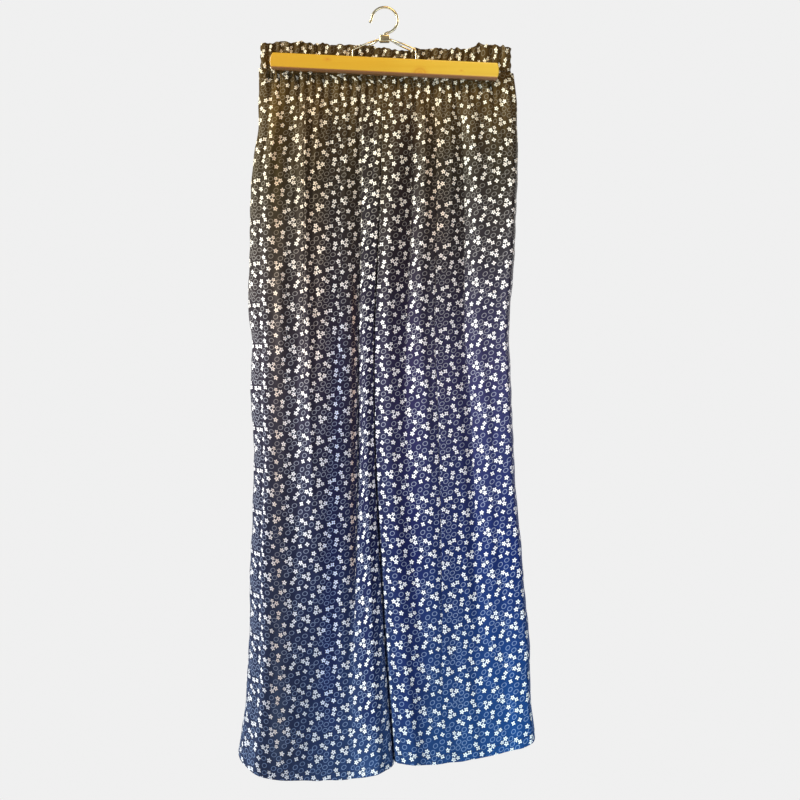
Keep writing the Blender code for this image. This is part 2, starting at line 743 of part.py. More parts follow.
def hook_route():
    """Stem, a small bend, most of a turn over the rail, and a flared tip."""
    turn_radius = HOOK_INSIDE + HOOK_RADIUS
    centre = Vector((0.0, 0.0, -HOOK_INSIDE))
    route = [Vector((x, 0.0, z)) for x, z in HOOK_STEM]
    for degrees in HOOK_TURN:
        angle = math.radians(degrees)
        spoke = Vector((math.cos(angle), 0.0, math.sin(angle)))
        route.append(centre + turn_radius * spoke)
    tip = route[-1]
    route.extend(tip + Vector((x, 0.0, z)) for x, z in HOOK_FLARE)
    return route


def make_clasp():
    clasp = bevelled_block("clasp", CLASP_SIZE, CLASP_BEVEL, 2)
    clasp.location = (0.0, 0.0, CLASP_MIDDLE)
    clasp.data.materials.append(material("steel"))
    reach = CLASP_SIZE[0]
    for facing in (-1, 1):
        place = Vector((0.0, facing * CLASP_WIRE_PLANE, CLASP_WIRE_HEIGHT))
        across = Vector((reach, 0.0, 0.0))
        hole = wire("clasp_hole_" + ("front" if facing < 0 else "back"),
                    [place - across, place + across], BAIL_RADIUS + FIT, 2)
        cut(clasp, hole)
    stem_hole = wire("clasp_hole_stem",
                     [Vector((0.0, 0.0, HOOK_STEM_END - FIT)),
                      Vector((0.0, 0.0, HOOK_STEM_END + 12 * MM))],
                     HOOK_RADIUS + FIT, 2)
    cut(clasp, stem_hole)
    return clasp


def make_hanger():
    for name, facing in (("front", -1), ("back", 1)):
        wire("bail_" + name, bail_route(facing), BAIL_RADIUS, 1)
        make_slat("slat_" + name, facing)
    make_clasp()
    wire("hook", hook_route(), HOOK_RADIUS, 2)


def main():
    clear_scene()
    make_waistband()
    make_panel("front_panel_left", LEFT_LEG, FRONT_LEFT_FOLDS, -1)
    make_panel("front_panel_right", RIGHT_LEG, FRONT_RIGHT_FOLDS, -1)
    make_panel("back_panel_left", LEFT_LEG, BACK_LEFT_FOLDS, 1)
    make_panel("back_panel_right", RIGHT_LEG, BACK_RIGHT_FOLDS, 1)
    make_hanger()


main()
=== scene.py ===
# %% [markdown]
# # Palazzo trousers on a clamp hanger
#
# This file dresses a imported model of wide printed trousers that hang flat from
# a wooden clamp hanger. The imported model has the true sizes. Here every piece
# of cloth gets its fine folds, its print and its stitches, and the hanger gets
# its wood and its wire.
#
# Lengths are in metres and +Z is up. The origin is the top of the space inside
# the hook. The front faces -Y. Left and right are the viewer's.

# %% Load the frame
import math
from collections import namedtuple

import bmesh
import bpy
import numpy as np
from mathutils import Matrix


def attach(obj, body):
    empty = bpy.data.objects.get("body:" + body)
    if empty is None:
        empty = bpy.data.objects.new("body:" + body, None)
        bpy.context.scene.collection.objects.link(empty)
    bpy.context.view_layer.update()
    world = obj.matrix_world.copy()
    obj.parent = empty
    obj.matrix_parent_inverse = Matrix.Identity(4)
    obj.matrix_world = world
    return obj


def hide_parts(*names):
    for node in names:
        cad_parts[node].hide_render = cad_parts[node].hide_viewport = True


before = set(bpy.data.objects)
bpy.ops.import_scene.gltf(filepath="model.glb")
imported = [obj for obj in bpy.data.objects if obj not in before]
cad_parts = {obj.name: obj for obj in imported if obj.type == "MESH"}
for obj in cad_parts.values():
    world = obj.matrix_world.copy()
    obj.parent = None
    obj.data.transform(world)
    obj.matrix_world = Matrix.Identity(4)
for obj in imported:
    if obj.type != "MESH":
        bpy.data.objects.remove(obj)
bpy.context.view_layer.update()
MM = 0.001
print("nodes in the frame:", ", ".join(sorted(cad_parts)))


def add_to_scene(name, data):
    made = bpy.data.objects.new(name, data)
    bpy.context.scene.collection.objects.link(made)
    return made


# %% [markdown]
# ## Camera, floor and light
#
# A hanging garment is viewed straight on, from about two metres. Cloth shows its
# folds when the light comes from one side, so a tall lamp stands to the left.
# Two weak lamps tint the ends of the garment, a warm one above and a cool one
# below, and one behind it lights its edges. The world lights the rest softly.
# Camera rays see it almost white, and the light that it casts is dimmer, so
# that the folds keep their depth.

# %% Camera
VIEW_CENTRE = (21.1 * MM, -532.4 * MM)   # x and z of the view's middle
VIEW_SIDE = 1088.0 * MM                  # what the view spans at y = 0
VIEW_DISTANCE = 2.1

eye = bpy.data.cameras.new("camera")
eye.sensor_width = 36.0
eye.lens = eye.sensor_width * VIEW_DISTANCE / VIEW_SIDE
eye.clip_end = 50.0
camera = add_to_scene("camera", eye)
camera.location = (VIEW_CENTRE[0], -VIEW_DISTANCE, VIEW_CENTRE[1])
camera.rotation_euler = (math.radians(90.0), 0.0, 0.0)
bpy.context.scene.camera = camera
print("lens in millimetres:", round(eye.lens, 1))

# %% Floor
FLOOR_HEIGHT = -1.62                     # the rail is 1.62 m above the floor

bpy.ops.object.select_all(action="DESELECT")
bpy.ops.mesh.primitive_plane_add(size=4.0, location=(0.0, 0.0, FLOOR_HEIGHT))
floor = bpy.context.object
floor.name = "floor"

# %% Lamps and world
Lamp = namedtuple("Lamp", "name place width height watts colour")
LAMPS = [
    Lamp("key_left", (-2.3, -0.88, 0.45), 0.6, 1.8, 126.0, (0.96, 0.98, 1.0)),
    Lamp("warm_fill", (0.7, -1.5, 1.70), 0.9, 0.7, 28.0, (1.0, 0.70, 0.40)),
    Lamp("cool_fill", (1.2, -2.2, -1.30), 1.0, 0.8, 22.0, (0.46, 0.64, 1.0)),
    Lamp("light_behind", (1.6, 2.0, 0.3), 1.4, 1.6, 45.0, (1.0, 0.98, 0.95)),
]
AIM = (0.0, 0.0, -0.50)

for lamp in LAMPS:
    light = bpy.data.lights.new(lamp.name, "AREA")
    light.shape = "RECTANGLE"
    light.size = lamp.width
    light.size_y = lamp.height
    light.energy = lamp.watts
    light.color = lamp.colour
    holder = add_to_scene(lamp.name, light)
    holder.location = lamp.place
    gaze = [a - p for a, p in zip(AIM, lamp.place)]
    level = math.hypot(gaze[0], gaze[1])
    holder.rotation_euler = (math.atan2(level, -gaze[2]), 0.0,
                             math.atan2(-gaze[0], gaze[1]))

WORLD_SEEN = (0.87, 0.87, 0.87)
WORLD_CAST = (0.13, 0.13, 0.14)

world = bpy.data.worlds.new("studio")
bpy.context.scene.world = world
world.use_nodes = True
sky = world.node_tree
seen = sky.nodes["Background"]
cast = sky.nodes.new("ShaderNodeBackground")
for background, colour in ((seen, WORLD_SEEN), (cast, WORLD_CAST)):
    background.inputs["Color"].default_value = (*colour, 1.0)
rays = sky.nodes.new("ShaderNodeLightPath")
either = sky.nodes.new("ShaderNodeMixShader")
sky.links.new(rays.outputs["Is Camera Ray"], either.inputs[0])
sky.links.new(cast.outputs[0], either.inputs[1])
sky.links.new(seen.outputs[0], either.inputs[2])
sky.links.new(either.outputs[0], sky.nodes["World Output"].inputs["Surface"])
bpy.context.scene.view_settings.view_transform = "Standard"

# %% [markdown]
# ## Curves from tables
#
# A maker measures a garment at a few heights and draws fair curves between
# them. These helpers do the same with numbers: `spline` runs smoothly through a
# short table, `smoothstep` eases from 0 to 1, and `quarter_round` turns cloth
# over at an edge. All of them work on whole grids of points at once.

# %% Helpers for numbers
def smoothstep(t):
    t = np.clip(t, 0.0, 1.0)
    return t * t * (3.0 - 2.0 * t)


def ramp(low, high, at):
    """0 below low, 1 above high, easing between them."""
    return smoothstep((at - low) / (high - low))


def mix(a, b, t):
    return a + (b - a) * t


def quarter_round(distance, radius):
    """0 at an edge, rising as a quarter circle to 1 at the radius."""
    turn = 1.0 - np.minimum(distance / radius, 1.0)
    return np.sqrt(np.maximum(1.0 - turn * turn, 0.0))


def fair(t, span, start, end, slope_in, slope_out):
    """The cubic over one span that meets both ends with the slopes given."""
    return ((2 * t**3 - 3 * t**2 + 1) * start
            + (t**3 - 2 * t**2 + t) * slope_in * span
            + (3 * t**2 - 2 * t**3) * end
            + (t**3 - t**2) * slope_out * span)


def spline(places, values, at):
    """A smooth curve through (place, value) pairs, flat beyond the ends."""
    places = np.asarray(places, float)
    values = np.asarray(values, float)
    at = np.clip(at, places[0], places[-1])
    last = len(places) - 1
    k = np.clip(np.searchsorted(places, at, side="right") - 1, 0, last - 1)
    before = np.maximum(np.arange(last + 1) - 1, 0)
    after = np.minimum(np.arange(last + 1) + 1, last)
    slopes = (values[after] - values[before]) / (places[after] - places[before])
    span = places[k + 1] - places[k]
    return fair((at - places[k]) / span, span, values[k], values[k + 1],
                slopes[k], slopes[k + 1])


def table(kind, rows):
    """Rows of numbers as named tuples of one kind."""
    return [kind(*row) for row in rows]


def curve(rows, column, at, unit=1.0):
    """A table's column in millimetres, as a curve over its first column."""
    return spline([row[0] * unit for row in rows],
                  [getattr(row, column) * MM for row in rows], at)


def run_along(grid):
    """How far each point lies along its row of a grid of points."""
    step = np.linalg.norm(np.diff(grid, axis=1), axis=2)
    return np.concatenate([np.zeros((len(grid), 1)), np.cumsum(step, axis=1)], axis=1)


# %% [markdown]
# ## The garment's measures
#
# The trousers are four panels and a waistband. Each height is a drop, which is
# the distance below the waistband's mean top edge. A place across a panel is a
# fraction, from 0 at the side seam to 1 at the centre seam, or at the inseam
# below the crotch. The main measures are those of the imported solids, so the
# fine cloth lies on the same form. The edges of the legs and of the hems are
# finer here, and the solids keep them plainer.

# %% Measures of the cloth
SEAM_GAP = 0.04 * MM
WAIST_TOP = -51.0 * MM            # height of the waistband's mean top edge
CROTCH_DROP = 300.0 * MM
HEM_DROP = 970.0 * MM             # hems at the inseams
BAND_DROP = 34.5 * MM             # the waistband's lower edge, at the middle
BAND_SLOPE = 7.0 / 346.0          # it hangs lower towards +X
PINCHED = 3.0 * MM                # half the depth where the slats press
PRESSED_BELOW = 2.5 * MM          # the cloth stays flat this far under a slat
END_DEPTH = 5.5 * MM              # half the depth past the slats' ends
END_CLEAR = 2.0 * MM
END_EASE = 10.0 * MM
BELLY_LENGTH = 75.0 * MM          # from the slats down to the full depth
GATHERS_PER_PANEL = 14
GATHER_PRESSED = 0.45 * MM        # height of a gather under the slats
GATHER_FREE = 1.0 * MM            # and below them
GATHER_SWELL = 14.0 * MM          # length over which the even gathers rise
CRUMPLE_SWELL = 6.0 * MM          # and the fine ones
GATHER_KEEP = 20.0 * MM
GATHER_FADE = 55.0 * MM
FINE_GATHERS = 84
GATHER_HIDES = 1.3                # cloth hidden in a gather, against its depth
HIDES_FURTHER = 1.3               # how far down it is hidden, against the gather's reach
TUCK_WIDTH = 1.0 * MM
TUCK_GROOVE = 0.28                # depth of a tuck's line, against what it hides
FOLD_START = 50.0 * MM
FOLD_SWELL = 70.0 * MM
EDGE_RISE = 1.0 * MM              # cloth beside a rolled edge
SEAM_STIFF = 0.30                 # inner roll above the knee, part of the full one
SEAM_STIFF_END = 500.0 * MM
SEAM_SOFTENS = 250.0 * MM
SIDE_FLAT = 110.0 * MM            # the side seam lies flat down to here
SIDE_LIFTS = 160.0 * MM
ROLL_START = -40.0 * MM
ROLL_LENGTH = 190.0 * MM
SINK_START = 70.0 * MM            # drop where the centre seam starts to sink in

SLAT_LENGTH = 310.0 * MM
SLAT_HEIGHT = 19.2 * MM
SLAT_DEPTH = 13.0 * MM
SLAT_DROP = 28.8 * MM             # its middle
SLAT_TILT = math.radians(2.7)
SLAT_INNER = 3.8 * MM             # its inner face, from the middle plane

Section = namedtuple("Section", "drop left right centre depth")
SECTIONS = table(Section, [  # millimetres
    (30, -171.0, 174.5, -3.4, 6.0), (75, -170.5, 180.0, -3.4, 10.5),
    (115, -171.5, 181.5, -3.4, 14.0), (155, -178.5, 181.5, -3.8, 16.5),
    (235, -183.0, 179.0, -7.0, 20.0), (320, -184.5, 173.5, -10.5, 23.0),
    (360, -185.0, 170.5, -12.4, 23.0), (400, -180.5, 168.5, -13.4, 22.0),
    (480, -181.0, 173.0, -13.6, 22.5), (560, -177.0, 176.0, -11.9, 24.5),
    (640, -180.0, 182.0, -8.5, 26.5), (720, -183.0, 188.5, -4.0, 26.0),
    (810, -184.0, 196.0, 1.2, 28.0), (890, -188.5, 199.0, 6.8, 29.5),
    (970, -199.5, 208.0, 13.0, 34.0),
])


def section(column, drop):
    return curve(SECTIONS, column, drop, MM)


def band_bottom(x):
    return BAND_DROP + BAND_SLOPE * x


def slat_bottom(x):
    return SLAT_DROP + SLAT_HEIGHT / 2.0 + math.tan(SLAT_TILT) * x


def slat_top(x):
    return slat_bottom(x) - SLAT_HEIGHT


def past_slat(x):
    """0 under the slats, 1 beyond their ends."""
    return smoothstep((np.abs(x) - SLAT_LENGTH / 2.0 - END_CLEAR) / END_EASE)


def below_slat(x, drop):
    return drop - slat_bottom(x) - PRESSED_BELOW


# %% Hems, legs and long folds
EdgePoint = namedtuple("EdgePoint", "across drop")
LEFT_HEM = table(EdgePoint, [
    (0.00, 955.0), (0.03, 964.0), (0.08, 973.0), (0.20, 986.0), (0.36, 991.5), (0.70, 991.5),
    (0.88, 983.5), (1.00, 972.0),
])
RIGHT_HEM = table(EdgePoint, [
    (0.00, 935.0), (0.05, 941.0), (0.12, 946.0), (0.40, 961.0), (0.68, 968.5), (0.84, 969.5),
    (1.00, 967.0),
])

Leg = namedtuple("Leg", "side_column hem side_roll inseam_roll inseam_y")
LEFT_LEG = Leg("left", LEFT_HEM, 14 * MM, 7 * MM, -13 * MM)
RIGHT_LEG = Leg("right", RIGHT_HEM, 7 * MM, 6.5 * MM, -15 * MM)

# Each fold line runs from waist to hem. Its place across the panel and its
# rise in millimetres are given at four heights.
LINE_DROPS = (73.0 * MM, 277.0 * MM, 549.0 * MM, 889.0 * MM)
Fold = namedtuple("Fold", "across rise")
FRONT_LEFT_FOLDS = table(Fold, [
    ((0.105, 0.146, 0.114, 0.126), (7, 7.5, 9, 11)),
    ((0.178, 0.231, 0.205, 0.209), (3, 5.8, 7, 7)),
    ((0.288, 0.364, 0.374, 0.321), (-1, 2.0, 1.2, 1.5)),
    ((0.365, 0.448, 0.425, 0.397), (8, 7, 5.5, -3)),
    ((0.414, 0.495, 0.493, 0.460), (5, 3.2, 7, -6)),
    ((0.495, 0.565, 0.559, 0.516), (3.4, 3.2, 6, -7.5)),
    ((0.593, 0.666, 0.666, 0.586), (0.5, -0.5, 0.5, -8.5)),
    ((0.715, 0.782, 0.773, 0.676), (-2, -4, -5, -9)),
    ((0.809, 0.848, 0.852, 0.739), (-1, -11, -14, -9)),
    ((0.927, 0.914, 0.930, 0.892), (-2, -1, 3, 5)),
])
FRONT_RIGHT_FOLDS = table(Fold, [
    ((0.109, 0.083, 0.083, 0.119), (2, 7.5, 10, 9)),
    ((0.273, 0.186, 0.141, 0.182), (1.5, 5, 7, 4.5)),
    ((0.362, 0.274, 0.199, 0.288), (7, 3, 7, 2)),
    ((0.451, 0.377, 0.308, 0.380), (-6, -10, -3.5, -0.5)),
    ((0.488, 0.428, 0.380, 0.451), (-2, -6, 0.8, 0.2)),
    ((0.525, 0.501, 0.467, 0.529), (0, -2.5, 3, -1.5)),
    ((0.621, 0.612, 0.562, 0.593), (-2, 1, 5.2, -1)),
    ((0.688, 0.689, 0.634, 0.656), (1.5, 4.5, 7.5, -0.5)),
    ((0.762, 0.780, 0.772, 0.748), (-1, -6, 0.5, 0)),
    ((0.829, 0.847, 0.822, 0.805), (3.5, 0.5, 2.2, 2)),
    ((0.904, 0.913, 0.888, 0.862), (3, 5, 5, 5)),
])
BACK_LEFT_FOLDS = table(Fold, [
    ((0.13, 0.15, 0.15, 0.14), (-2.5, -5, -5, -4)),
    ((0.21, 0.24, 0.26, 0.25), (2.5, 5, 4, 2.5)),
    ((0.30, 0.32, 0.34, 0.32), (-2.5, -4, -4, -2.5)),
    ((0.38, 0.42, 0.41, 0.40), (4, 8, 8, 5)),
    ((0.47, 0.49, 0.48, 0.50), (-2.5, -6.5, -4, -2.5)),
    ((0.56, 0.58, 0.60, 0.60), (2.5, 4, 5, 4)),
    ((0.64, 0.65, 0.67, 0.68), (-4, -8, -8, -4)),
    ((0.73, 0.75, 0.76, 0.77), (4, 6.5, 6.5, 4)),
    ((0.81, 0.83, 0.84, 0.84), (-1.5, -5, -4, -2.5)),
    ((0.89, 0.90, 0.90, 0.90), (1.5, 4, 4, 2.5)),
])
BACK_RIGHT_FOLDS = table(Fold, [
    ((0.15, 0.17, 0.16, 0.15), (-1.5, -4, -5, -2.5)),
    ((0.24, 0.25, 0.27, 0.26), (2.5, 6.5, 6.5, 4)),
    ((0.31, 0.31, 0.33, 0.34), (-4, -8, -6.5, -2.5)),
    ((0.41, 0.43, 0.42, 0.44), (2.5, 4, 5, 4)),
    ((0.50, 0.52, 0.50, 0.53), (-2.5, -4, -5, -4)),
    ((0.57, 0.59, 0.58, 0.62), (4, 8, 6.5, 4)),
    ((0.66, 0.66, 0.67, 0.70), (-2.5, -5, -2.5, -1.5)),
    ((0.75, 0.76, 0.77, 0.79), (2.5, 5, 5, 4)),
    ((0.82, 0.84, 0.85, 0.86), (-2.5, -6.5, -5, -2.5)),
    ((0.89, 0.90, 0.91, 0.91), (1.5, 4, 2.5, 2.5)),
])

# %% [markdown]
# ## Fine creases, tucks and gathers
#
# Between the long folds, hanging viscose has smaller creases. Some start in the
# gathers under the waistband and die out by the hip, and some run far down the
# leg. They are listed one by one: where each starts and ends, its height, its
# width, and how far it leans on the way down. Close to the waistband the
# elastic draws the cloth into small uneven gathers.
#
# A tuck is a line where one fold laps over its neighbour and hides a strip of
# cloth. Its place across and the hidden strip in millimetres are given at the
# same four heights as a fold's.

# %% Tables of creases and tucks
Crease = namedtuple("Crease", "across start end height width lean")
FRONT_LEFT_CREASES = table(Crease, [  # starts to widths in millimetres
    (0.04, 60, 260, 0.9, 3.0, -0.01), (0.10, 45, 190, -1.1, 3.0, -0.02),
    (0.17, 45, 230, 1.0, 3.2, -0.03), (0.30, 45, 300, 1.0, 2.6, 0.05),
    (0.41, 45, 210, -1.2, 2.6, 0.04), (0.48, 60, 280, 1.2, 2.8, 0.03),
    (0.53, 250, 560, -0.8, 3.4, 0.01), (0.58, 45, 180, -1.3, 2.4, 0.03),
    (0.70, 45, 260, 1.3, 2.4, 0.04), (0.81, 45, 230, -1.8, 2.6, 0.02),
    (0.93, 45, 240, -1.0, 2.2, 0.00), (0.478, 285, 720, 3.0, 4.4, 0.01),
    (0.258, 290, 460, 2.6, 6.5, 0.00), (0.20, 560, 880, 0.7, 5.0, -0.02),
    (0.63, 640, 940, -0.7, 5.0, 0.02),
])
FRONT_RIGHT_CREASES = table(Crease, [
    (0.05, 60, 280, 1.0, 3.0, -0.01), (0.12, 45, 200, -1.1, 3.0, -0.02),
    (0.21, 45, 240, 1.1, 2.8, -0.03), (0.31, 45, 170, -1.2, 2.4, -0.04),
    (0.42, 45, 230, -1.2, 2.6, -0.05), (0.50, 60, 330, 1.2, 2.8, -0.03),
    (0.57, 45, 190, 0.7, 2.4, -0.03), (0.64, 45, 240, -1.3, 2.6, -0.04),
    (0.70, 60, 300, 1.1, 2.4, -0.05), (0.76, 45, 180, -1.2, 2.2, -0.04),
    (0.93, 45, 260, -1.0, 2.2, 0.00), (0.12, 480, 840, 0.8, 4.6, 0.02),
    (0.42, 560, 900, -0.7, 5.0, 0.02),
])
BACK_LEFT_CREASES = table(Crease, [
    (0.06, 60, 320, 1.0, 3.0, 0.01), (0.18, 45, 240, -1.2, 2.6, 0.02),
    (0.27, 70, 360, 1.1, 3.0, 0.01), (0.35, 480, 880, -0.8, 4.4, 0.00),
    (0.44, 45, 220, 1.2, 2.6, 0.01), (0.53, 60, 300, -1.1, 2.8, 0.02),
    (0.62, 45, 190, 1.1, 2.4, 0.01), (0.70, 450, 840, 0.8, 4.2, 0.01),
    (0.78, 45, 280, -1.2, 2.6, 0.02), (0.87, 60, 340, 1.0, 2.4, 0.00),
])
BACK_RIGHT_CREASES = table(Crease, [
    (0.07, 60, 280, 1.0, 3.0, 0.01), (0.20, 45, 260, 1.1, 2.6, 0.00),
    (0.28, 200, 500, -0.9, 3.6, 0.01), (0.36, 45, 210, 1.2, 2.4, 0.01),
    (0.46, 60, 330, -1.1, 2.8, 0.00), (0.54, 400, 800, 0.8, 4.4, 0.02),
    (0.62, 45, 230, 1.2, 2.6, 0.02), (0.71, 60, 360, -1.1, 2.6, 0.01),
    (0.80, 45, 250, 1.1, 2.4, 0.02), (0.87, 480, 830, -0.8, 4.0, 0.01),
])

Tuck = namedtuple("Tuck", "across hidden")
FRONT_LEFT_TUCKS = table(Tuck, [
    ((0.367, 0.440, 0.430, 0.400), (3, 4, 0, 0)),
    ((0.640, 0.715, 0.690, 0.640), (1, 2, 0, 0)),
    ((0.830, 0.864, 0.852, 0.746), (3, 6, 7, 2)),
])
FRONT_RIGHT_TUCKS = table(Tuck, [
    ((0.430, 0.370, 0.300, 0.380), (3, 5, 2, 0)),
    ((0.614, 0.575, 0.544, 0.628), (3, 4, 5, 1)),
    ((0.790, 0.765, 0.770, 0.750), (2, 4, 1, 0)),
])
BACK_LEFT_TUCKS = table(Tuck, [
    ((0.34, 0.37, 0.38, 0.36), (2, 5, 3, 0)),
    ((0.60, 0.62, 0.63, 0.64), (3, 6, 5, 2)),
    ((0.77, 0.79, 0.80, 0.80), (1, 3, 0, 0)),
])
BACK_RIGHT_TUCKS = table(Tuck, [
    ((0.28, 0.28, 0.30, 0.30), (1, 3, 2, 0)),
    ((0.46, 0.47, 0.46, 0.48), (3, 5, 5, 1)),
    ((0.70, 0.71, 0.72, 0.74), (2, 4, 1, 0)),
])

PanelPlan = namedtuple("PanelPlan", "name leg folds creases tucks facing seed side_rise")
PANELS = [
    PanelPlan("front_left", LEFT_LEG, FRONT_LEFT_FOLDS, FRONT_LEFT_CREASES,
              FRONT_LEFT_TUCKS, -1, 11, 1.0 * MM),
    PanelPlan("front_right", RIGHT_LEG, FRONT_RIGHT_FOLDS, FRONT_RIGHT_CREASES,
              FRONT_RIGHT_TUCKS, -1, 12, 11.0 * MM),
    PanelPlan("back_left", LEFT_LEG, BACK_LEFT_FOLDS, BACK_LEFT_CREASES,
              BACK_LEFT_TUCKS, 1, 13, 1.0 * MM),
    PanelPlan("back_right", RIGHT_LEG, BACK_RIGHT_FOLDS, BACK_RIGHT_CREASES,
              BACK_RIGHT_TUCKS, 1, 14, 1.0 * MM),
]
print("long folds:", sum(len(p.folds) for p in PANELS),
      " fine creases:", sum(len(p.creases) for p in PANELS))

# %% [markdown]
# ## The panels' shape
#
# A panel is a grid of points. Its columns are closer together where the cloth
# turns over at a seam. At each point the half depth of the hanging garment, the
# long folds, the creases, the gathers and the tucks are added up, and the sum
# moves the point out from the middle plane. The inner seams lie in front of
# that plane, so that only a shallow line shows between the legs.

# %% Edges of a leg
def seam_softness(drop):
    """The inner seam turns over tightly by the thigh and softly lower down."""
    return mix(SEAM_STIFF, 1.0, smoothstep((drop - SEAM_STIFF_END) / SEAM_SOFTENS))


def leg_ends(leg, drop):
    """x of the side seam and of the inner seam at a drop."""
    side = section(leg.side_column, drop)
    return side, section("centre", drop) + np.sign(side) * SEAM_GAP / 2.0


def leg_width(leg, drop):
    side, inner = leg_ends(leg, drop)
    return np.abs(inner - side)


def sinking(drop):
    """0 where the centre seam lies on the flat cloth, 1 from the crotch down."""
    return ramp(SINK_START, CROTCH_DROP, drop)


def side_roll(leg, drop):
    return leg.side_roll * smoothstep((drop - ROLL_START) / ROLL_LENGTH)


def inner_roll(leg, drop):
    return leg.inseam_roll * seam_softness(drop)


def fold_rise(plan, across, drop, first, last):
    """Height of the long folds over the grid, a fair curve through the lines."""
    shape = np.broadcast_shapes(across.shape, drop.shape)
    lifted = smoothstep((drop - SIDE_FLAT) / SIDE_LIFTS)
    side = np.broadcast_to(mix(EDGE_RISE, plan.side_rise, lifted), shape)
    inner = np.full(shape, EDGE_RISE)
    places = np.stack([np.broadcast_to(first, shape)]
                      + [spline(LINE_DROPS, f.across, drop) for f in plan.folds]
                      + [np.broadcast_to(last, shape)])
    rises = np.stack([side] + [spline(LINE_DROPS, f.rise, drop) * MM for f in plan.folds]
                     + [inner])
    slopes = np.zeros_like(rises)
    slopes[1:-1] = (rises[2:] - rises[:-2]) / (places[2:] - places[:-2])
    total = np.where(across <= places[0], rises[0], rises[-1])
    for k in range(len(places) - 1):
        span = np.maximum(places[k + 1] - places[k], 1e-6)
        t = np.clip((across - places[k]) / span, 0.0, 1.0)
        within = (across > places[k]) & (across <= places[k + 1])
        total = np.where(within, fair(t, span, rises[k], rises[k + 1],
                                      slopes[k], slopes[k + 1]), total)
    return total


# %% Creases, gathers and tucks on a grid
def crease_rise(plan, across, drop, width):
    """Small ridges and troughs, each fading in and out along its length."""
    total = np.zeros_like(across)
    for crease in plan.creases:
        start, end = crease.start * MM, crease.end * MM
        along = (drop - start) / (end - start)
        centre = crease.across + crease.lean * along
        centre = centre + 0.004 * np.sin(along * 9.0 + crease.across * 40.0)
        off = (across - centre) * width / (crease.width * MM)
        strength = ramp(0.0, 0.18, along) * (1.0 - ramp(0.55, 1.0, along))
        total += crease.height * MM * strength * np.exp(-off * off)
    return total


Gather = namedtuple("Gather", "centre reach height width lean")


def fine_gathers(seed):
    """Small ridges and valleys that run down from the waistband."""
    chance = np.random.default_rng(seed)
    made = []
    for k in range(FINE_GATHERS):
        long = chance.uniform(0.0, 1.0) ** 3
        made.append(Gather(centre=(k + chance.uniform(0.2, 0.8)) / FINE_GATHERS,
                           reach=mix(15.0, 105.0, long) * MM,
                           height=chance.uniform(-1.0, 1.0) * mix(2.6, 1.5, long) * MM,
                           width=chance.uniform(0.9, 2.0) * MM,
                           lean=chance.uniform(-0.03, 0.03)))
    return made


def gather_rise(plan, across, x, drop):
    """Gathers below the waistband: an even set, and finer uneven ones."""
    below_band = drop - band_bottom(x)
    swell = smoothstep(below_slat(x, drop) / GATHER_SWELL)
    crumpled = smoothstep(below_slat(x, drop) / CRUMPLE_SWELL)
    fade = 1.0 - smoothstep((below_band - GATHER_KEEP) / GATHER_FADE)
    height = mix(GATHER_PRESSED, GATHER_FREE, swell) * fade
    drift = 0.5 * np.sin(2 * np.pi * 2.3 * across)
    total = height * np.cos(2 * np.pi * GATHERS_PER_PANEL * across + drift)
    width = leg_width(plan.leg, drop)
    for gather in fine_gathers(plan.seed):
        along = below_band / gather.reach
        off = (across - gather.centre - gather.lean * along) * width / gather.width
        total += gather.height * crumpled * (1.0 - smoothstep(along)) * np.exp(-off * off)
    return total


def tuck_lines(plan, across, drop, width):
    """For each tuck: distance beyond its line, and the strip that it hides."""
    for tuck in plan.tucks:
        line = spline(LINE_DROPS, tuck.across, drop)
        strip_hidden = np.maximum(spline(LINE_DROPS, tuck.hidden, drop), 0.0) * MM
        started = ramp(band_bottom(0.0) + 10 * MM, band_bottom(0.0) + 50 * MM, drop)
        yield (across - line) * width, strip_hidden * started


def tuck_rise(plan, across, drop, width):
    """A narrow groove along each tuck."""
    total = np.zeros_like(across)
    for beyond, strip_hidden in tuck_lines(plan, across, drop, width):
        total -= TUCK_GROOVE * strip_hidden * np.exp(-(beyond / TUCK_WIDTH) ** 2)
    return total


def hidden_before(plan, across, drop):
    """Cloth that gathers and tucks hide between the side seam and each point."""
    side, inner = leg_ends(plan.leg, drop)
    width = np.abs(inner - side)
    below_band = drop - band_bottom(mix(side, inner, across))
    total = np.zeros_like(across)
    for gather in fine_gathers(plan.seed):
        if gather.height < 0.0:
            along = below_band / (gather.reach * HIDES_FURTHER)
            beyond = (across - gather.centre - gather.lean * along) * width / TUCK_WIDTH
            total += (-gather.height * GATHER_HIDES * (1.0 - smoothstep(along))
                      * smoothstep(beyond + 0.5))
    for beyond, strip_hidden in tuck_lines(plan, across, drop, width):
        total += strip_hidden * smoothstep(beyond / TUCK_WIDTH + 0.5)
    return total


# %% The whole panel
PANEL_ROWS = {-1: 190, 1: 160}       # front and back
PANEL_COLUMNS = {-1: 240, 1: 150}
ROLL_COLUMNS = 11                    # of them, on each rolled edge
ROW_CROWDING = 1.25                  # rows are closer together near the waist
ROWS_SPAN = 940.0                    # what the rows are laid out over, millimetres
HEM_TURNING = 11.0 * MM
HEM_STEPS = (13.0, 12.2, 11.6, 11.0, 10.4, 9.7, 8.0, 5.5, 3.0, 1.5, 0.6, 0.0)
HEM_PUCKER = 0.28 * MM
HEM_WAVE = 0.5 * MM
HEM_GROOVE = 0.30 * MM
RIPPLE = 0.35 * MM
SCALLOP = 0.9 * MM                   # along the side seam
SCALLOP_FINE = 0.35 * MM
SCALLOP_REACH = 0.12                 # across the panel


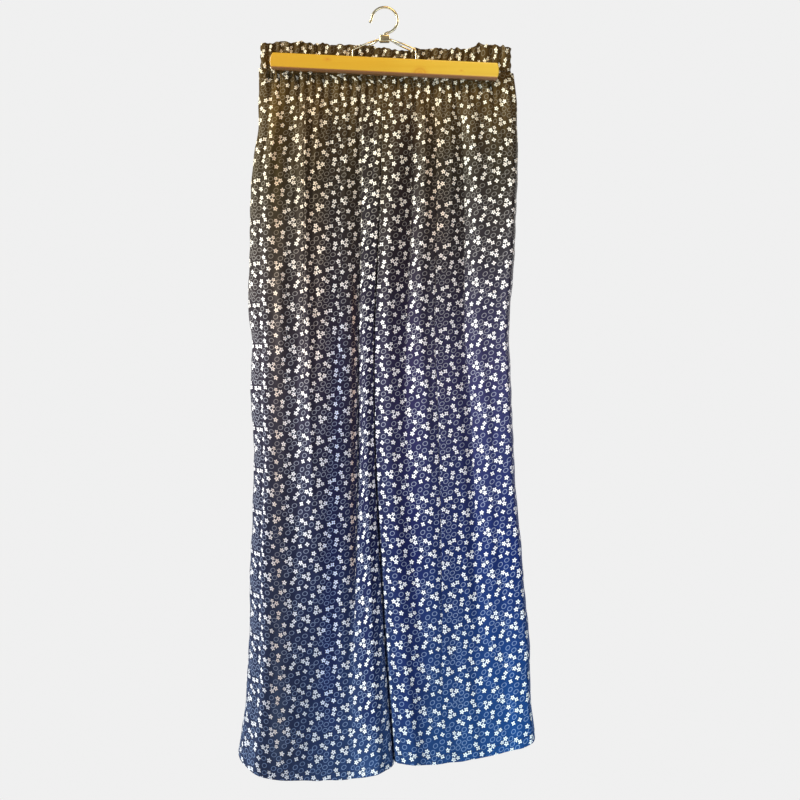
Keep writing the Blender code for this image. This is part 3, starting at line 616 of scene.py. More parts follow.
def panel_columns(leg, drop, count):
    """Places across, row by row: along two rolled edges and between them."""
    width = leg_width(leg, drop)
    turn = np.radians(np.linspace(0.0, 90.0, ROLL_COLUMNS))
    outer = (side_roll(leg, drop) / width)[:, None] * (1.0 - np.cos(turn))
    inner = 1.0 - (inner_roll(leg, drop) / width)[:, None] * (1.0 - np.sin(turn))
    middle = count - 2 * ROLL_COLUMNS
    t = (np.arange(middle) + 1.0) / (middle + 1.0)
    between = mix(outer[:, -1:], inner[:, :1], t[None, :])
    return np.concatenate([outer, between, inner], axis=1)


def scallops(leg, drop):
    """The side seam goes in and out a little where the cloth bunches."""
    sign = np.sign(section(leg.side_column, 0.0))
    slow = np.sin(drop / (31 * MM) + sign) * np.sin(drop / (57 * MM))
    quick = np.sin(drop / (6.5 * MM) + 2.0 * np.sin(drop / (40 * MM)))
    start = ramp(45 * MM, 90 * MM, drop)
    return sign * start * (SCALLOP * slow + SCALLOP_FINE * quick)


def panel_outside(plan):
    """Outer points (rows, columns, 3), the places across, the drops, the hem."""
    leg = plan.leg
    rows = np.linspace(0.0, 1.0, PANEL_ROWS[plan.facing]) ** ROW_CROWDING
    rows *= 1.0 - HEM_STEPS[0] / ROWS_SPAN
    rows = np.concatenate([rows, [1.0 - step / ROWS_SPAN for step in HEM_STEPS[1:]]])
    level = mix(BAND_DROP, HEM_DROP, rows)
    across = panel_columns(leg, level, PANEL_COLUMNS[plan.facing])
    hem = curve(leg.hem, "drop", across)
    top = band_bottom(mix(*leg_ends(leg, np.array(BAND_DROP)), across)) + SEAM_GAP
    drop = mix(top, hem, rows[:, None])
    side, inner = leg_ends(leg, drop)
    width = np.abs(inner - side)
    x = mix(side, inner, across)

    roll = side_roll(leg, drop)
    turn = inner_roll(leg, drop)
    from_side = across * width
    from_inner = (1.0 - across) * width
    settled = smoothstep((drop - FOLD_START) / FOLD_SWELL)
    clear_of_seams = ramp(1 * MM, 9 * MM, from_side) * ramp(1 * MM, 9 * MM, from_inner)
    rise = settled * fold_rise(plan, across, drop, roll / width, 1.0 - turn / width)
    rise += gather_rise(plan, across, x, drop) * mix(0.5, 1.0, clear_of_seams)
    rise += crease_rise(plan, across, drop, width) * clear_of_seams
    rise += tuck_rise(plan, across, drop, width)
    ripple = np.sin(drop / (23 * MM) + across * 37.0) * np.sin(drop / (61 * MM) - across * 23.0)
    rise += RIPPLE * ripple * clear_of_seams * settled

    held = mix(PINCHED, END_DEPTH, past_slat(x))
    opened = smoothstep(below_slat(x, drop) / BELLY_LENGTH)
    flat = mix(held, np.maximum(section("depth", drop), held), opened)
    out = (flat + rise) * quarter_round(from_side, roll)
    seam = mix(flat, plan.facing * leg.inseam_y, sinking(drop))
    out = mix(seam, out, quarter_round(from_inner, turn))

    near_hem = ramp(-HEM_TURNING - 2 * MM, 0.0, drop - hem)
    pucker = np.sin(across * width / (1.7 * MM) + 3.0 * np.sin(across * 19.0))
    out += near_hem * clear_of_seams * HEM_PUCKER * pucker
    groove = np.exp(-((drop - hem + HEM_TURNING) / (0.9 * MM)) ** 2)
    out -= groove * clear_of_seams * HEM_GROOVE

    y = plan.facing * (out + SEAM_GAP / 2.0)
    x = x + scallops(leg, drop) * (1.0 - smoothstep(across / SCALLOP_REACH))
    wave = np.sin(across * width / (9 * MM) + 2.0 * np.sin(across * 11.0))
    z = WAIST_TOP - drop
    z = z + near_hem * HEM_WAVE * wave
    return np.stack([x, y, z], axis=2), across, drop, hem

# %% [markdown]
# ## From a grid to a piece of cloth
#
# Real viscose is a quarter of a millimetre thick. The shell is a little thicker,
# so that it stays a clean body, and about twice that where the hem is turned up.
# Its inner side lies just behind the outer one, and a rim closes it all round.
# Its UV map is the flat cloth in metres, with the cloth that gathers and tucks
# hide counted in. The print reads that map, so the flowers close up where the
# cloth is gathered, as they do on the real garment.

# %% Shell from a grid
def outward(points, closed):
    """Unit normals of a grid, from the differences of its neighbours."""
    if closed:
        along = np.roll(points, -1, axis=1) - np.roll(points, 1, axis=1)
    else:
        along = np.gradient(points, axis=1)
    down = np.gradient(points, axis=0)
    normals = np.cross(along, down)
    length = np.linalg.norm(normals, axis=2, keepdims=True)
    return normals / np.maximum(length, 1e-12)


def strip(a, b):
    """Quads between two lines of vertex numbers."""
    return np.stack([a[:-1], a[1:], b[1:], b[:-1]], axis=1)


def patch(ids):
    """Quads of a grid of vertex numbers."""
    return np.stack([ids[:-1, :-1], ids[1:, :-1], ids[1:, 1:], ids[:-1, 1:]],
                    axis=2).reshape(-1, 4)


def shell_faces(rows, columns, closed):
    """Quads of two grids and of the rim between them."""
    count = rows * columns
    first = np.arange(count).reshape(rows, columns)
    if closed:
        first = np.concatenate([first, first[:, :1]], axis=1)
    second = first + count
    faces = [patch(first), patch(second)[:, ::-1],
             strip(first[0], second[0]), strip(first[-1], second[-1])[:, ::-1]]
    if not closed:
        faces += [strip(first[:, 0], second[:, 0])[:, ::-1],
                  strip(first[:, -1], second[:, -1])]
    return np.concatenate(faces)


def map_cloth(mesh, faces, flat_map, closed):
    """Store the flat cloth as the UV map."""
    flat = flat_map[:, :-1] if closed else flat_map
    corner = np.concatenate([flat.reshape(-1, 2)] * 2)[faces.ravel()].reshape(-1, 4, 2)
    if closed:  # the last column repeats the first, one full turn further on
        across = corner[:, :, 0]
        span = flat_map[0, -1, 0] - flat_map[0, 0, 0]
        jump = across.max(axis=1) - across.min(axis=1) > span / 2
        low = across < across.min(axis=1)[:, None] + span / 2
        corner[:, :, 0] += np.where(jump[:, None] & low, span, 0.0)
    layer = mesh.uv_layers.new(name="flat_cloth")
    layer.data.foreach_set("uv", corner.astype(np.float32).ravel())


def shell(name, outer, inner, flat_map, closed=False):
    """A closed sheet from two grids of points, with its UV map."""
    faces = shell_faces(*outer.shape[:2], closed)
    points = np.concatenate([outer.reshape(-1, 3), inner.reshape(-1, 3)])
    mesh = bpy.data.meshes.new(name)
    mesh.vertices.add(len(points))
    mesh.vertices.foreach_set("co", points.astype(np.float32).ravel())
    mesh.loops.add(faces.size)
    mesh.loops.foreach_set("vertex_index", faces.astype(np.int32).ravel())
    mesh.polygons.add(len(faces))
    mesh.polygons.foreach_set("loop_start", np.arange(0, faces.size, 4, dtype=np.int32))
    mesh.update(calc_edges=True)
    map_cloth(mesh, faces, flat_map, closed)
    mesh.validate()

    work = bmesh.new()
    work.from_mesh(mesh)
    if work.calc_volume(signed=True) < 0.0:
        bmesh.ops.reverse_faces(work, faces=work.faces[:])
    work.to_mesh(mesh)
    work.free()
    mesh.shade_smooth()
    return add_to_scene(name, mesh)


# %% Make the four panels
CLOTH = 0.45 * MM
TURNED_UP = 1.2          # thickness that the turned-up hem adds, against the cloth's
HIP_ROW = 0.22           # the hip's place among the rows
Panel = namedtuple("Panel", "plan piece outer normals drop hem flat area")


def make_panel(plan):
    outer, across, drop, hem = panel_outside(plan)
    normals = outward(outer, closed=False)
    if np.sum(normals[:, :, 1]) * plan.facing < 0.0:
        normals = -normals
    turned_up = ramp(-HEM_TURNING - 0.6 * MM, -HEM_TURNING + 0.6 * MM, drop - hem)
    inner = outer - normals * (CLOTH * (1.0 + TURNED_UP * turned_up))[:, :, None]

    run = run_along(outer)
    top_girth = run[0, -1]
    run += hidden_before(plan, across, drop)
    girth = run[:, -1]
    cut_width = np.maximum(girth, girth[int(HIP_ROW * len(girth))])
    fall = np.linalg.norm(np.diff(outer, axis=0), axis=2).sum(axis=0)
    cut_length = float(np.median(fall))
    rows = (drop[:, 0] - drop[0, 0]) / (drop[-1, 0] - drop[0, 0])
    area = float(np.sum((cut_width[1:] + cut_width[:-1]) / 2.0 * np.diff(rows))) * cut_length

    # Each panel is cut from its own place on the bolt, so the prints of two
    # neighbours do not meet. The print's right side faces out on all of them.
    flip = -plan.facing if plan.leg is LEFT_LEG else plan.facing
    run = (run * (cut_width / girth)[:, None] - cut_width[:, None] / 2.0) * flip
    down = np.broadcast_to(-rows[:, None] * cut_length, run.shape)
    flat_map = np.stack([run + (1.0 + 0.031 * plan.seed), down + (2.0 + 0.023 * plan.seed)],
                        axis=2)
    piece = shell("cloth_" + plan.name, outer, inner, flat_map)
    print(piece.name, "girth at the top", round(top_girth / MM),
          "cut: top", round(cut_width[0] / MM), "hem", round(cut_width[-1] / MM),
          "length", round(cut_length / MM), "triangles", 2 * len(piece.data.polygons))
    flat = (round(float(cut_width.max()), 3), round(float(fall.max()), 3))
    return Panel(plan, piece, outer, normals, drop, hem, flat, area)


panels = [make_panel(plan) for plan in PANELS]

# %% [markdown]
# ## The waistband and its frill
#
# The waistband is a ring of cloth. Its lower part is the elastic casing, which
# the slats press flat. The part above them is free, so the elastic's gathers
# spread out there into a crumpled frill. The frill's free edge goes up and down
# unevenly, and on the right it stands up in small points.

# %% Measures of the waistband
FrillPoint = namedtuple("FrillPoint", "x drop")
FRILL_EDGE = table(FrillPoint, [  # millimetres
    (-171, -2.5), (-130, -5.0), (-75, -1.5), (-15, 1.0), (20, 6.5), (50, 4.5), (112, 4.0),
    (127, -0.5), (160, 1.5), (175, 4.0),
])
BandLevel = namedtuple("BandLevel", "down wave depth")
BAND_LEVELS = table(BandLevel, [  # from the edge (0) to the casing's end (1), millimetres
    (0.00, 1.5, 4.2), (0.30, 1.1, 3.8), (0.60, 0.45, 3.0), (1.00, 0.45, 3.0),
])
Point = namedtuple("Point", "x rise width")
FRILL_POINTS = table(Point, [  # small peaks of the free edge, millimetres
    (-166, 2.4, 3.0), (-154, -1.6, 3.2), (-141, 1.6, 2.8), (-127, -1.4, 3.4), (-112, 1.5, 3.0),
    (-96, -1.2, 3.5), (-83, 1.8, 2.6), (-70, -1.4, 2.8), (-58, 1.2, 2.6), (-33, 1.6, 2.8),
    (-9, -1.8, 3.6), (3, 1.2, 2.2), (27, -1.3, 2.8), (41, 2.0, 2.8), (58, -1.2, 3.0),
    (72, 1.9, 2.6), (86, -1.0, 3.2), (98, 1.6, 2.4), (112, -2.0, 3.2), (128, 3.4, 2.8),
    (139, 2.2, 2.2), (150, 3.0, 2.4), (161, 1.6, 2.0), (171, 2.2, 2.0),
])
FRILL_RIPPLE = 0.5 * MM
FRILL_CRIMP = 0.7 * MM
FRILL_LEAST = 5.0 * MM            # the frill is never shorter than this
CRUMPLE_FREE = 1.4 * MM           # height of the fine ridges on the frill
CRUMPLE_PRESSED = 0.12 * MM       # and under the slats
CRUMPLE_REACH = 0.55
BAND_RIDGES = 110
BAND_WAVES = 2 * GATHERS_PER_PANEL
BAND_ROLL = 7.0 * MM
BAND_INSET = 2.5 * MM             # narrower than the panels' tops at either side
BAND_CALM = 12.0 * MM
BAND_ROWS = 30
BAND_COLUMNS = 340                # front or back, between the rounded ends
BAND_ROLL_COLUMNS = 9
BAND_CUT = 0.98                   # length of the strip, the wearer's hip
CASING_ABOVE = 1.0 * MM
CASING_START = 0.6                # where the casing begins, from edge to end
CASING_GROOVE = 0.35 * MM
END_CRIMP = 0.6 * MM


def frill_points(x):
    total = np.zeros_like(x)
    for point in FRILL_POINTS:
        off = np.abs(x - point.x * MM) / (point.width * MM)
        total += point.rise * MM * np.exp(-off ** 1.5)
    return total


def band_ridges(x, facing, down, left, right):
    """Fine uneven ridges, tall on the free frill and low under the slats."""
    chance = np.random.default_rng(21)
    total = np.zeros(np.broadcast_shapes(x.shape, down.shape))
    for k in range(BAND_RIDGES):
        centre = mix(left, right, (k + chance.uniform(0.1, 0.9)) / BAND_RIDGES)
        broad = chance.uniform(0.9, 1.9) * MM
        tall = chance.uniform(-1.0, 1.0)
        lean = chance.uniform(-3.0, 3.0) * MM
        side = chance.choice([-1.0, 1.0])
        deepest = chance.uniform(0.0, 0.35)
        along = np.exp(-((down - deepest) / 0.45) ** 2)
        here = np.exp(-((x - centre - lean * down) / broad) ** 2)
        total += tall * along * here * (facing == side)
    free = 1.0 - smoothstep(down / CRUMPLE_REACH)
    return total * mix(CRUMPLE_PRESSED, CRUMPLE_FREE, free)


def band_drop(x, facing, down, ripple, calm):
    """Drops of the ring, from the frill's edge to the casing's lower edge."""
    casing_top = slat_top(x) + CASING_ABOVE
    crimp = np.sin(x / (1.7 * MM) + 4.0 * np.sin(x / (13 * MM)) + facing)
    top = curve(FRILL_EDGE, "drop", x, MM) + ripple - frill_points(x) * calm
    top = np.minimum(top + calm * FRILL_CRIMP * crimp, casing_top - FRILL_LEAST)
    in_casing = (down - CASING_START) / (1.0 - CASING_START)
    return np.where(down < CASING_START, mix(top, casing_top, down / CASING_START),
                    mix(casing_top, band_bottom(x), in_casing))


def band_grid():
    """Outer points of the ring, from the left end along the front and back."""
    left = float(section("left", 0.0)) + BAND_INSET
    right = float(section("right", 0.0)) - BAND_INSET
    turn = np.radians(np.linspace(0.0, 90.0, BAND_ROLL_COLUMNS))[:-1]
    rounding = BAND_ROLL * (1.0 - np.cos(turn))
    straight = np.linspace(left + BAND_ROLL, right - BAND_ROLL, BAND_COLUMNS)
    line = np.concatenate([left + rounding, straight, right - rounding[::-1]])
    x = np.concatenate([line, line[::-1][1:-1]])
    facing = np.concatenate([-np.ones(len(line)), np.ones(len(line) - 2)])
    down = np.linspace(0.0, 1.0, BAND_ROWS)[:, None]

    edge = np.maximum(np.minimum(x - left, right - x), 0.0)
    calm = smoothstep(edge / BAND_CALM)
    t = (x - left - BAND_ROLL) / (right - left - 2.0 * BAND_ROLL)
    wave = np.cos(2 * np.pi * BAND_WAVES * t + 2.6 * np.sin(9.0 * t) + 1.5 * np.sin(31.0 * t))
    depth = curve(BAND_LEVELS, "depth", down)
    depth = np.maximum(depth, mix(depth, END_DEPTH, past_slat(x)))
    out = (depth * quarter_round(edge, BAND_ROLL)
           + calm * curve(BAND_LEVELS, "wave", down) * wave
           + calm * band_ridges(x, facing, down, left, right))
    notch = np.exp(-((down - CASING_START) / 0.035) ** 2)
    out = out - CASING_GROOVE * notch * calm

    drop = band_drop(x, facing, down, FRILL_RIPPLE * wave * calm, calm)
    ends = (1.0 - smoothstep(edge / (10 * MM))) * np.sign(x)
    x = x + ends * END_CRIMP * np.sin(drop / (1.9 * MM))
    return np.stack([x, facing * out, WAIST_TOP - drop], axis=2)


# %% Make the waistband
ring = band_grid()
run = run_along(np.concatenate([ring, ring[:, :1]], axis=1))
ring_girth = run[-1, -1]
run *= (BAND_CUT / run[:, -1])[:, None]
band_height = float(np.linalg.norm(np.diff(ring, axis=0), axis=2).sum(axis=0).mean())
below_edge = np.linspace(0.0, band_height, BAND_ROWS)[:, None]
band_map = np.stack([run + 3.0, 2.0 + band_height - below_edge + np.zeros_like(run)], axis=2)
ring_normals = outward(ring, closed=True)
if np.sum(ring_normals * (ring - ring.mean(axis=1, keepdims=True))) < 0.0:
    ring_normals = -ring_normals
waistband = shell("cloth_waistband", ring, ring - ring_normals * CLOTH, band_map,
                  closed=True)
print("waistband: ring", round(ring_girth / MM), "height", round(band_height / MM, 1),
      "triangles", 2 * len(waistband.data.polygons))

# %% [markdown]
# ## Stitches
#
# A turned hem is held by a row of stitches, and so is the lower edge of the
# casing. One stitch is a short thread that sinks into the cloth at both ends. It
# is modelled once and copied along each row.

# %% One stitch, and rows of them
STITCH_LENGTH = 2.3 * MM
STITCH_STEP = 3.1 * MM
THREAD = 0.17 * MM
THREAD_SIDES = 5
STITCH_RINGS = ((-0.5, -0.10), (-0.3, 0.10), (0.0, 0.16), (0.3, 0.10), (0.5, -0.10))
FACES_PER_STITCH = THREAD_SIDES * (len(STITCH_RINGS) - 1)


def stitch_shape():
    """Points and faces of one thread along X, lying on Z = 0."""
    points = []
    for along, lift in STITCH_RINGS:   # parts of the length, and millimetres
        for k in range(THREAD_SIDES):
            angle = 2 * math.pi * k / THREAD_SIDES
            points.append((along * STITCH_LENGTH, THREAD * math.cos(angle),
                           lift * MM + THREAD * math.sin(angle)))
    faces = []
    for base in range(0, FACES_PER_STITCH, THREAD_SIDES):
        for k in range(THREAD_SIDES):
            a, b = base + k, base + (k + 1) % THREAD_SIDES
            faces.append((a, b, b + THREAD_SIDES, a + THREAD_SIDES))
    return np.array(points), faces


def stitch_row(name, line, normals):
    """Stitches laid end to end along a line on the cloth."""
    shape, faces = stitch_shape()
    run = run_along(line[None])[0]

    def at(place, values):
        return np.array([np.interp(place, run, values[:, i]) for i in range(3)])

    points = []
    quads = []
    for k in range(int(run[-1] / STITCH_STEP)):
        ends = (k + 0.5) * STITCH_STEP + np.array([-0.5, 0.5]) * STITCH_LENGTH
        a, b = (at(end, line) for end in ends)
        out = at(ends.mean(), normals)
        along = (b - a) / np.linalg.norm(b - a)
        out = out - along * out.dot(along)
        out /= np.linalg.norm(out)
        turned = np.stack([along, np.cross(out, along), out])
        quads += [tuple(v + len(points) for v in face) for face in faces]
        points += list(shape @ turned + (a + b) / 2.0)
    mesh = bpy.data.meshes.new(name)
    mesh.from_pydata([tuple(p) for p in points], [], quads)
    mesh.shade_smooth()
    return add_to_scene(name, mesh)


# %% Hem and casing stitches
HEM_STITCHES_UP = 10.4 * MM
CASING_ROW = BAND_ROWS - 4
SAMPLE_COLUMN = 70       # a column away from the seams, to find the stitches' row


def hem_stitches(panel):
    outer, drop = panel.outer, panel.drop
    level = (panel.hem - HEM_STITCHES_UP)[0]
    line = np.array([[np.interp(level[c], drop[:, c], outer[:, c, i]) for i in range(3)]
                     for c in range(2, outer.shape[1] - 2)])
    row = np.argmin(np.abs(drop[:, SAMPLE_COLUMN] - level[SAMPLE_COLUMN]))
    return stitch_row("hem_stitches_" + panel.plan.name, line, panel.normals[row, 2:-2])


hem_rows = [hem_stitches(panel) for panel in panels]
casing_stitches = stitch_row("casing_stitches", *(
    np.concatenate([grid[CASING_ROW], grid[CASING_ROW][:1]]) for grid in (ring, ring_normals)))
print("stitches:", {made.name: len(made.data.polygons) // FACES_PER_STITCH
                    for made in (*hem_rows, casing_stitches)})

# %% [markdown]
# ## Materials by arithmetic
#
# A material is a tree of small nodes. Drawing it by hand takes long, so one
# class wraps a socket and turns `a + b` or `1 - mask` into Math nodes, and one
# method makes any other node. Settings come first, because they decide which
# sockets a node has.

# %% Node helpers
class Value:
    """A socket that can be used in sums."""

    def __init__(self, finish, socket):
        self.finish = finish
        self.socket = socket

    def __add__(self, other):
        return self.finish.math("ADD", self, other)

    def __sub__(self, other):
        return self.finish.math("SUBTRACT", self, other)

    def __rsub__(self, other):
        return self.finish.math("SUBTRACT", other, self)

    def __mul__(self, other):
        return self.finish.math("MULTIPLY", self, other)

    def __truediv__(self, other):
        return self.finish.math("DIVIDE", self, other)

    __radd__ = __add__


class Finish:
    """A material, its nodes and its shader."""

    def __init__(self, name, roughness, metallic=0.0):
        self.material = bpy.data.materials.new(name)
        self.material.use_nodes = True
        self.nodes = self.material.node_tree.nodes
        self.links = self.material.node_tree.links
        self.shader = self.nodes["Principled BSDF"]
        self.shade(Roughness=roughness, Metallic=metallic)

    def feed(self, socket, value):
        if isinstance(value, Value):
            self.links.new(value.socket, socket)
        elif socket.type == "RGBA":
            socket.default_value = (*value[:3], 1.0)
        else:
            socket.default_value = value

    def node(self, kind, settings=None, sockets=None, output=0):
        made = self.nodes.new("ShaderNode" + kind)
        for name, value in (settings or {}).items():
            if name == "stops":
                stops = made.color_ramp.elements
                while len(stops) < len(value):
                    stops.new(0.5)
                for stop, (place, colour) in zip(stops, value):
                    stop.position = place
                    stop.color = (*colour[:3], 1.0)
            else:
                setattr(made, name, value)
        for name, value in (sockets or {}).items():
            self.feed(made.inputs[name], value)
        return Value(self, made.outputs[output])

    def math(self, operation, *values, clamp=False):
        return self.node("Math", {"operation": operation, "use_clamp": clamp},
                         dict(enumerate(values)))

    def vector(self, operation, *values, output=0):
        return self.node("VectorMath", {"operation": operation},
                         dict(enumerate(values)), output)

    def length(self, x, y):
        return self.math("SQRT", x * x + y * y)

    def split(self, vector):
        """The three parts of a vector."""
        parts = self.node("SeparateXYZ", sockets={0: vector}).socket.node.outputs
        return [Value(self, part) for part in parts]

    def stretch(self, value, by, start):
        """value * by + start, kept between 0 and 1."""
        return self.math("MULTIPLY_ADD", value, by, start, clamp=True)

    def within(self, distance, softness):
        """1 inside a line, 0 outside, with a soft edge of this width."""
        return self.stretch(distance, -1.0 / softness, 0.5)

    def blend(self, share, low, high):
        """A colour between two colours."""
        return self.node("Mix", {"data_type": "RGBA"}, {0: share, 6: low, 7: high}, 2)

    def either(self, share, low, high):
        """A vector between two vectors."""
        return self.node("Mix", {"data_type": "VECTOR"}, {0: share, 4: low, 5: high}, 1)

    def gradient(self, stops, at):
        return self.node("ValToRGB", {"stops": stops}, {0: at})

    def noise(self, place, scale, **sockets):
        return self.node("TexNoise", None, {"Vector": place, "Scale": scale, **sockets})

    def bands(self, direction, place, scale, distortion=0.0):
        return self.node("TexWave", {"bands_direction": direction},
                         {"Vector": place, "Scale": scale, "Distortion": distortion})

    def bump(self, height, strength, distance, normal=None):
        sockets = {"Height": height, "Strength": strength, "Distance": distance}
        if normal:
            sockets["Normal"] = normal
        return self.node("Bump", sockets=sockets)

    def place(self):
        """Where a point of the piece is, in metres."""
        return self.node("TexCoord", output=3)

    def shade(self, **sockets):
        for name, value in sockets.items():
            self.feed(self.shader.inputs[name.replace("_", " ")], value)


def dress(piece, finish, node=None):
    """Give a piece its finish and the node that it replaces."""
    piece.data.materials.clear()
    piece.data.materials.append(finish.material)
    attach(piece, "root")
    if node:
        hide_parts(node)


# %% [markdown]
# ## The printed cloth
#
# The print is a scatter of tiny five-petalled flowers and thin tilted rings on
# a dark ground. A printed cloth repeats a small tile, so the motifs of one tile
# are listed in a chart, in millimetres. For each motif the shader moves
# the tile so that the motif is at its middle, and keeps the nearest one. Only
# that one is drawn, as a curve in polar form, so a flower stays sharp from
# close up.

# %% Chart of the print
TILE = (108.0, 57.0)
CHART = {  # x and y in millimetres, and the turn in degrees
    "big": (
        (13.3, 12.5, 44), (12.6, 5.6, 2), (20.5, 22.3, 50), (16.4, 37.9, 63), (27.2, 10.5, 61),
        (32.2, 28.5, 65), (38.1, 31.3, 21), (44.5, 54.1, 3), (41.1, 6.4, 16), (49.5, 13.1, 64),
        (48.4, 19.8, 48), (59.8, 27.3, 22), (53.6, 48, 29), (58.8, 43.7, 38), (64.7, 15.3, 6),
        (74.3, 24.9, 57), (75.5, 36.7, 51), (79.4, 3.6, 32), (86.7, 18.1, 3), (87.1, 34.7, 22),
        (92.3, 38.4, 18), (96.5, 49.5, 12), (98.2, 15.1, 42), (103.2, 10.9, 58),
        (106.4, 23.6, 23), (5.7, 38.3, 12), (1.2, 52.4, 69),
    ),
    "small": (
        (7.6, 9.6, 42), (38.1, 25, 69), (54.3, 17.7, 43), (52.3, 41.9, 5), (93.2, 31.9, 53),
        (97, 8.6, 59), (105.6, 29.9, 60), (6.7, 49.3, 61),
    ),
    "four": (
        (19.4, 32.3, 0), (25.6, 45.1, 62), (32.5, 13.9, 59), (35.3, 42.1, 10), (65, 30.9, 20),
        (70.5, 13, 49), (74.2, 42.9, 19), (81.1, 50.8, 7), (82.2, 9.2, 54),
    ),
    "ring": (
        (64.5, 56.5, 28), (24.5, 56, 45), (8.5, 28, 32), (103, 41, 25), (50, 30.5, 41),
        (16, 48, 24), (55.5, 5, 42), (90, 0.5, 35), (34, 51.5, 22), (6, 18, 21), (103, 2, 31),
        (44, 44, 20), (72, 51.5, 23), (32.5, 3.5, 33), (97.5, 24.5, 45), (83, 42.5, 32),
        (83, 26.5, 41), (28, 37, 43), (40.5, 15.5, 41), (66, 39, 36), (78, 17, 31), (71, 5, 33),
        (28.5, 20.5, 26), (3.5, 3.5, 32), (57.5, 35.5, 29), (90, 10, 26), (11, 55, 45),
        (66.5, 23, 20), (88.5, 48.5, 22), (63, 7.5, 25), (20, 7.5, 45), (44.5, 36, 37),
        (65.5, 47, 42), (13, 21.5, 25), (1.5, 45, 38), (100, 34, 29), (21.5, 15, 32),
        (48, 4, 20), (57, 54.5, 36), (25, 28, 41),
    ),
}

# %% Flowers and rings
PRINT = 1000.0                    # the print is drawn in millimetres
TAG = 100.0                       # a motif's kind and turn ride along as a small z
PETALS = 5.0
PETAL_REACH = 3.4                 # from a big flower's middle to a petal's tip
SMALL_LESS, FOUR_LESS = 0.65, 0.3
RING_LONG, RING_SHORT, RING_MEAN = 3.3, 2.55, 2.9
RING_LINE = 0.36                  # half its line

viscose = Finish("printed_viscose", 0.62)
cloth_place = viscose.node("UVMap", {"uv_map": "flat_cloth"})
cloth_place = viscose.vector("MULTIPLY", cloth_place, (PRINT, PRINT, 0.0))
nearest = None
for number, motifs in enumerate(CHART.values()):
    for x, y, turn in motifs:
        here = viscose.vector("ADD", cloth_place, (-x, y, (number + turn / 100.0) / TAG))
        here = viscose.vector("WRAP", here, (TILE[0] / 2, TILE[1] / 2, TAG),
                              (-TILE[0] / 2, -TILE[1] / 2, -TAG))
        away = viscose.vector("LENGTH", here, output=1)
        if nearest is None:
            nearest, least = here, away
        else:
            closer = viscose.math("LESS_THAN", away, least)
            nearest = viscose.either(closer, nearest, here)
            least = viscose.math("MINIMUM", least, away)

dx, dy, tag = viscose.split(nearest)
kind = viscose.math("FLOOR", tag * TAG + 0.001)
turn = (tag * TAG - kind) * math.radians(100.0)
is_small, is_four, is_ring = (viscose.math("COMPARE", kind, number, 0.5)
                              for number in (1.0, 2.0, 3.0))   # as in the chart
away = viscose.length(dx, dy)
angle = viscose.math("ARCTAN2", dy, dx) - turn
lobes = viscose.math("COSINE", angle * (PETALS - is_four))
reach = PETAL_REACH - is_small * SMALL_LESS - is_four * FOUR_LESS
past_edge = away - reach * (0.76 + lobes * 0.24)
flower = viscose.within(past_edge, 0.35) * (1.0 - is_ring)
outline = viscose.within(past_edge - 0.8, 0.5) * (1.0 - is_ring)
heart = viscose.within(away - 0.7, 0.4) * flower
round_heart = viscose.within(away - 1.25, 0.8) * flower
oval = viscose.length(away * viscose.math("COSINE", angle) / RING_LONG,
                      away * viscose.math("SINE", angle) / RING_SHORT)
oval_line = viscose.math("ABSOLUTE", oval - 1.0) * RING_MEAN
ring_line = viscose.within(oval_line - RING_LINE, 0.35) * is_ring

# %% [markdown]
# ## The colours of the print, with painted light and shade
#
# The print's ground and flowers change colour from a brown black at the waist to
# a blue at the hem, and the right leg turns a clearer blue than the left one.
# These are the print's own colours with painted warm light at the waist and
# painted cool light low down worked into them. Soft streaks of painted light and
# painted shade run down the cloth along lit and shaded folds, and each multiplies
# the ground's colour and the print's.

# %% Tables of print colour with painted light
# Ground and flower colours from the waist to the hem: the print's own colours with painted warm
# light at the waist and painted cool light low down worked in.
DyeAndLight = namedtuple("DyeAndLight", "fall ground flower")
LEFT_DYE_AND_LIGHT = table(DyeAndLight, [  # from the waist (0) to the hem (1)
    (0.06, (0.075, 0.043, 0.0075), (0.94, 0.84, 0.58)),
    (0.20, (0.043, 0.032, 0.0145), (0.87, 0.78, 0.58)),
    (0.43, (0.040, 0.033, 0.043), (1.00, 0.98, 0.95)),
    (0.70, (0.021, 0.025, 0.056), (0.82, 0.84, 0.88)),
    (1.00, (0.025, 0.040, 0.090), (0.68, 0.74, 0.79)),
])
RIGHT_DYE_AND_LIGHT = table(DyeAndLight, [
    (0.06, (0.093, 0.055, 0.0115), (1.00, 0.96, 0.68)),
    (0.17, (0.036, 0.029, 0.017), (0.97, 0.95, 0.79)),
    (0.30, (0.030, 0.027, 0.036), (0.96, 0.94, 0.89)),
    (0.45, (0.036, 0.034, 0.108), (0.99, 0.99, 1.00)),
    (0.70, (0.008, 0.027, 0.150), (0.94, 1.00, 1.00)),
    (1.00, (0.009, 0.078, 0.262), (0.80, 1.00, 1.00)),
])
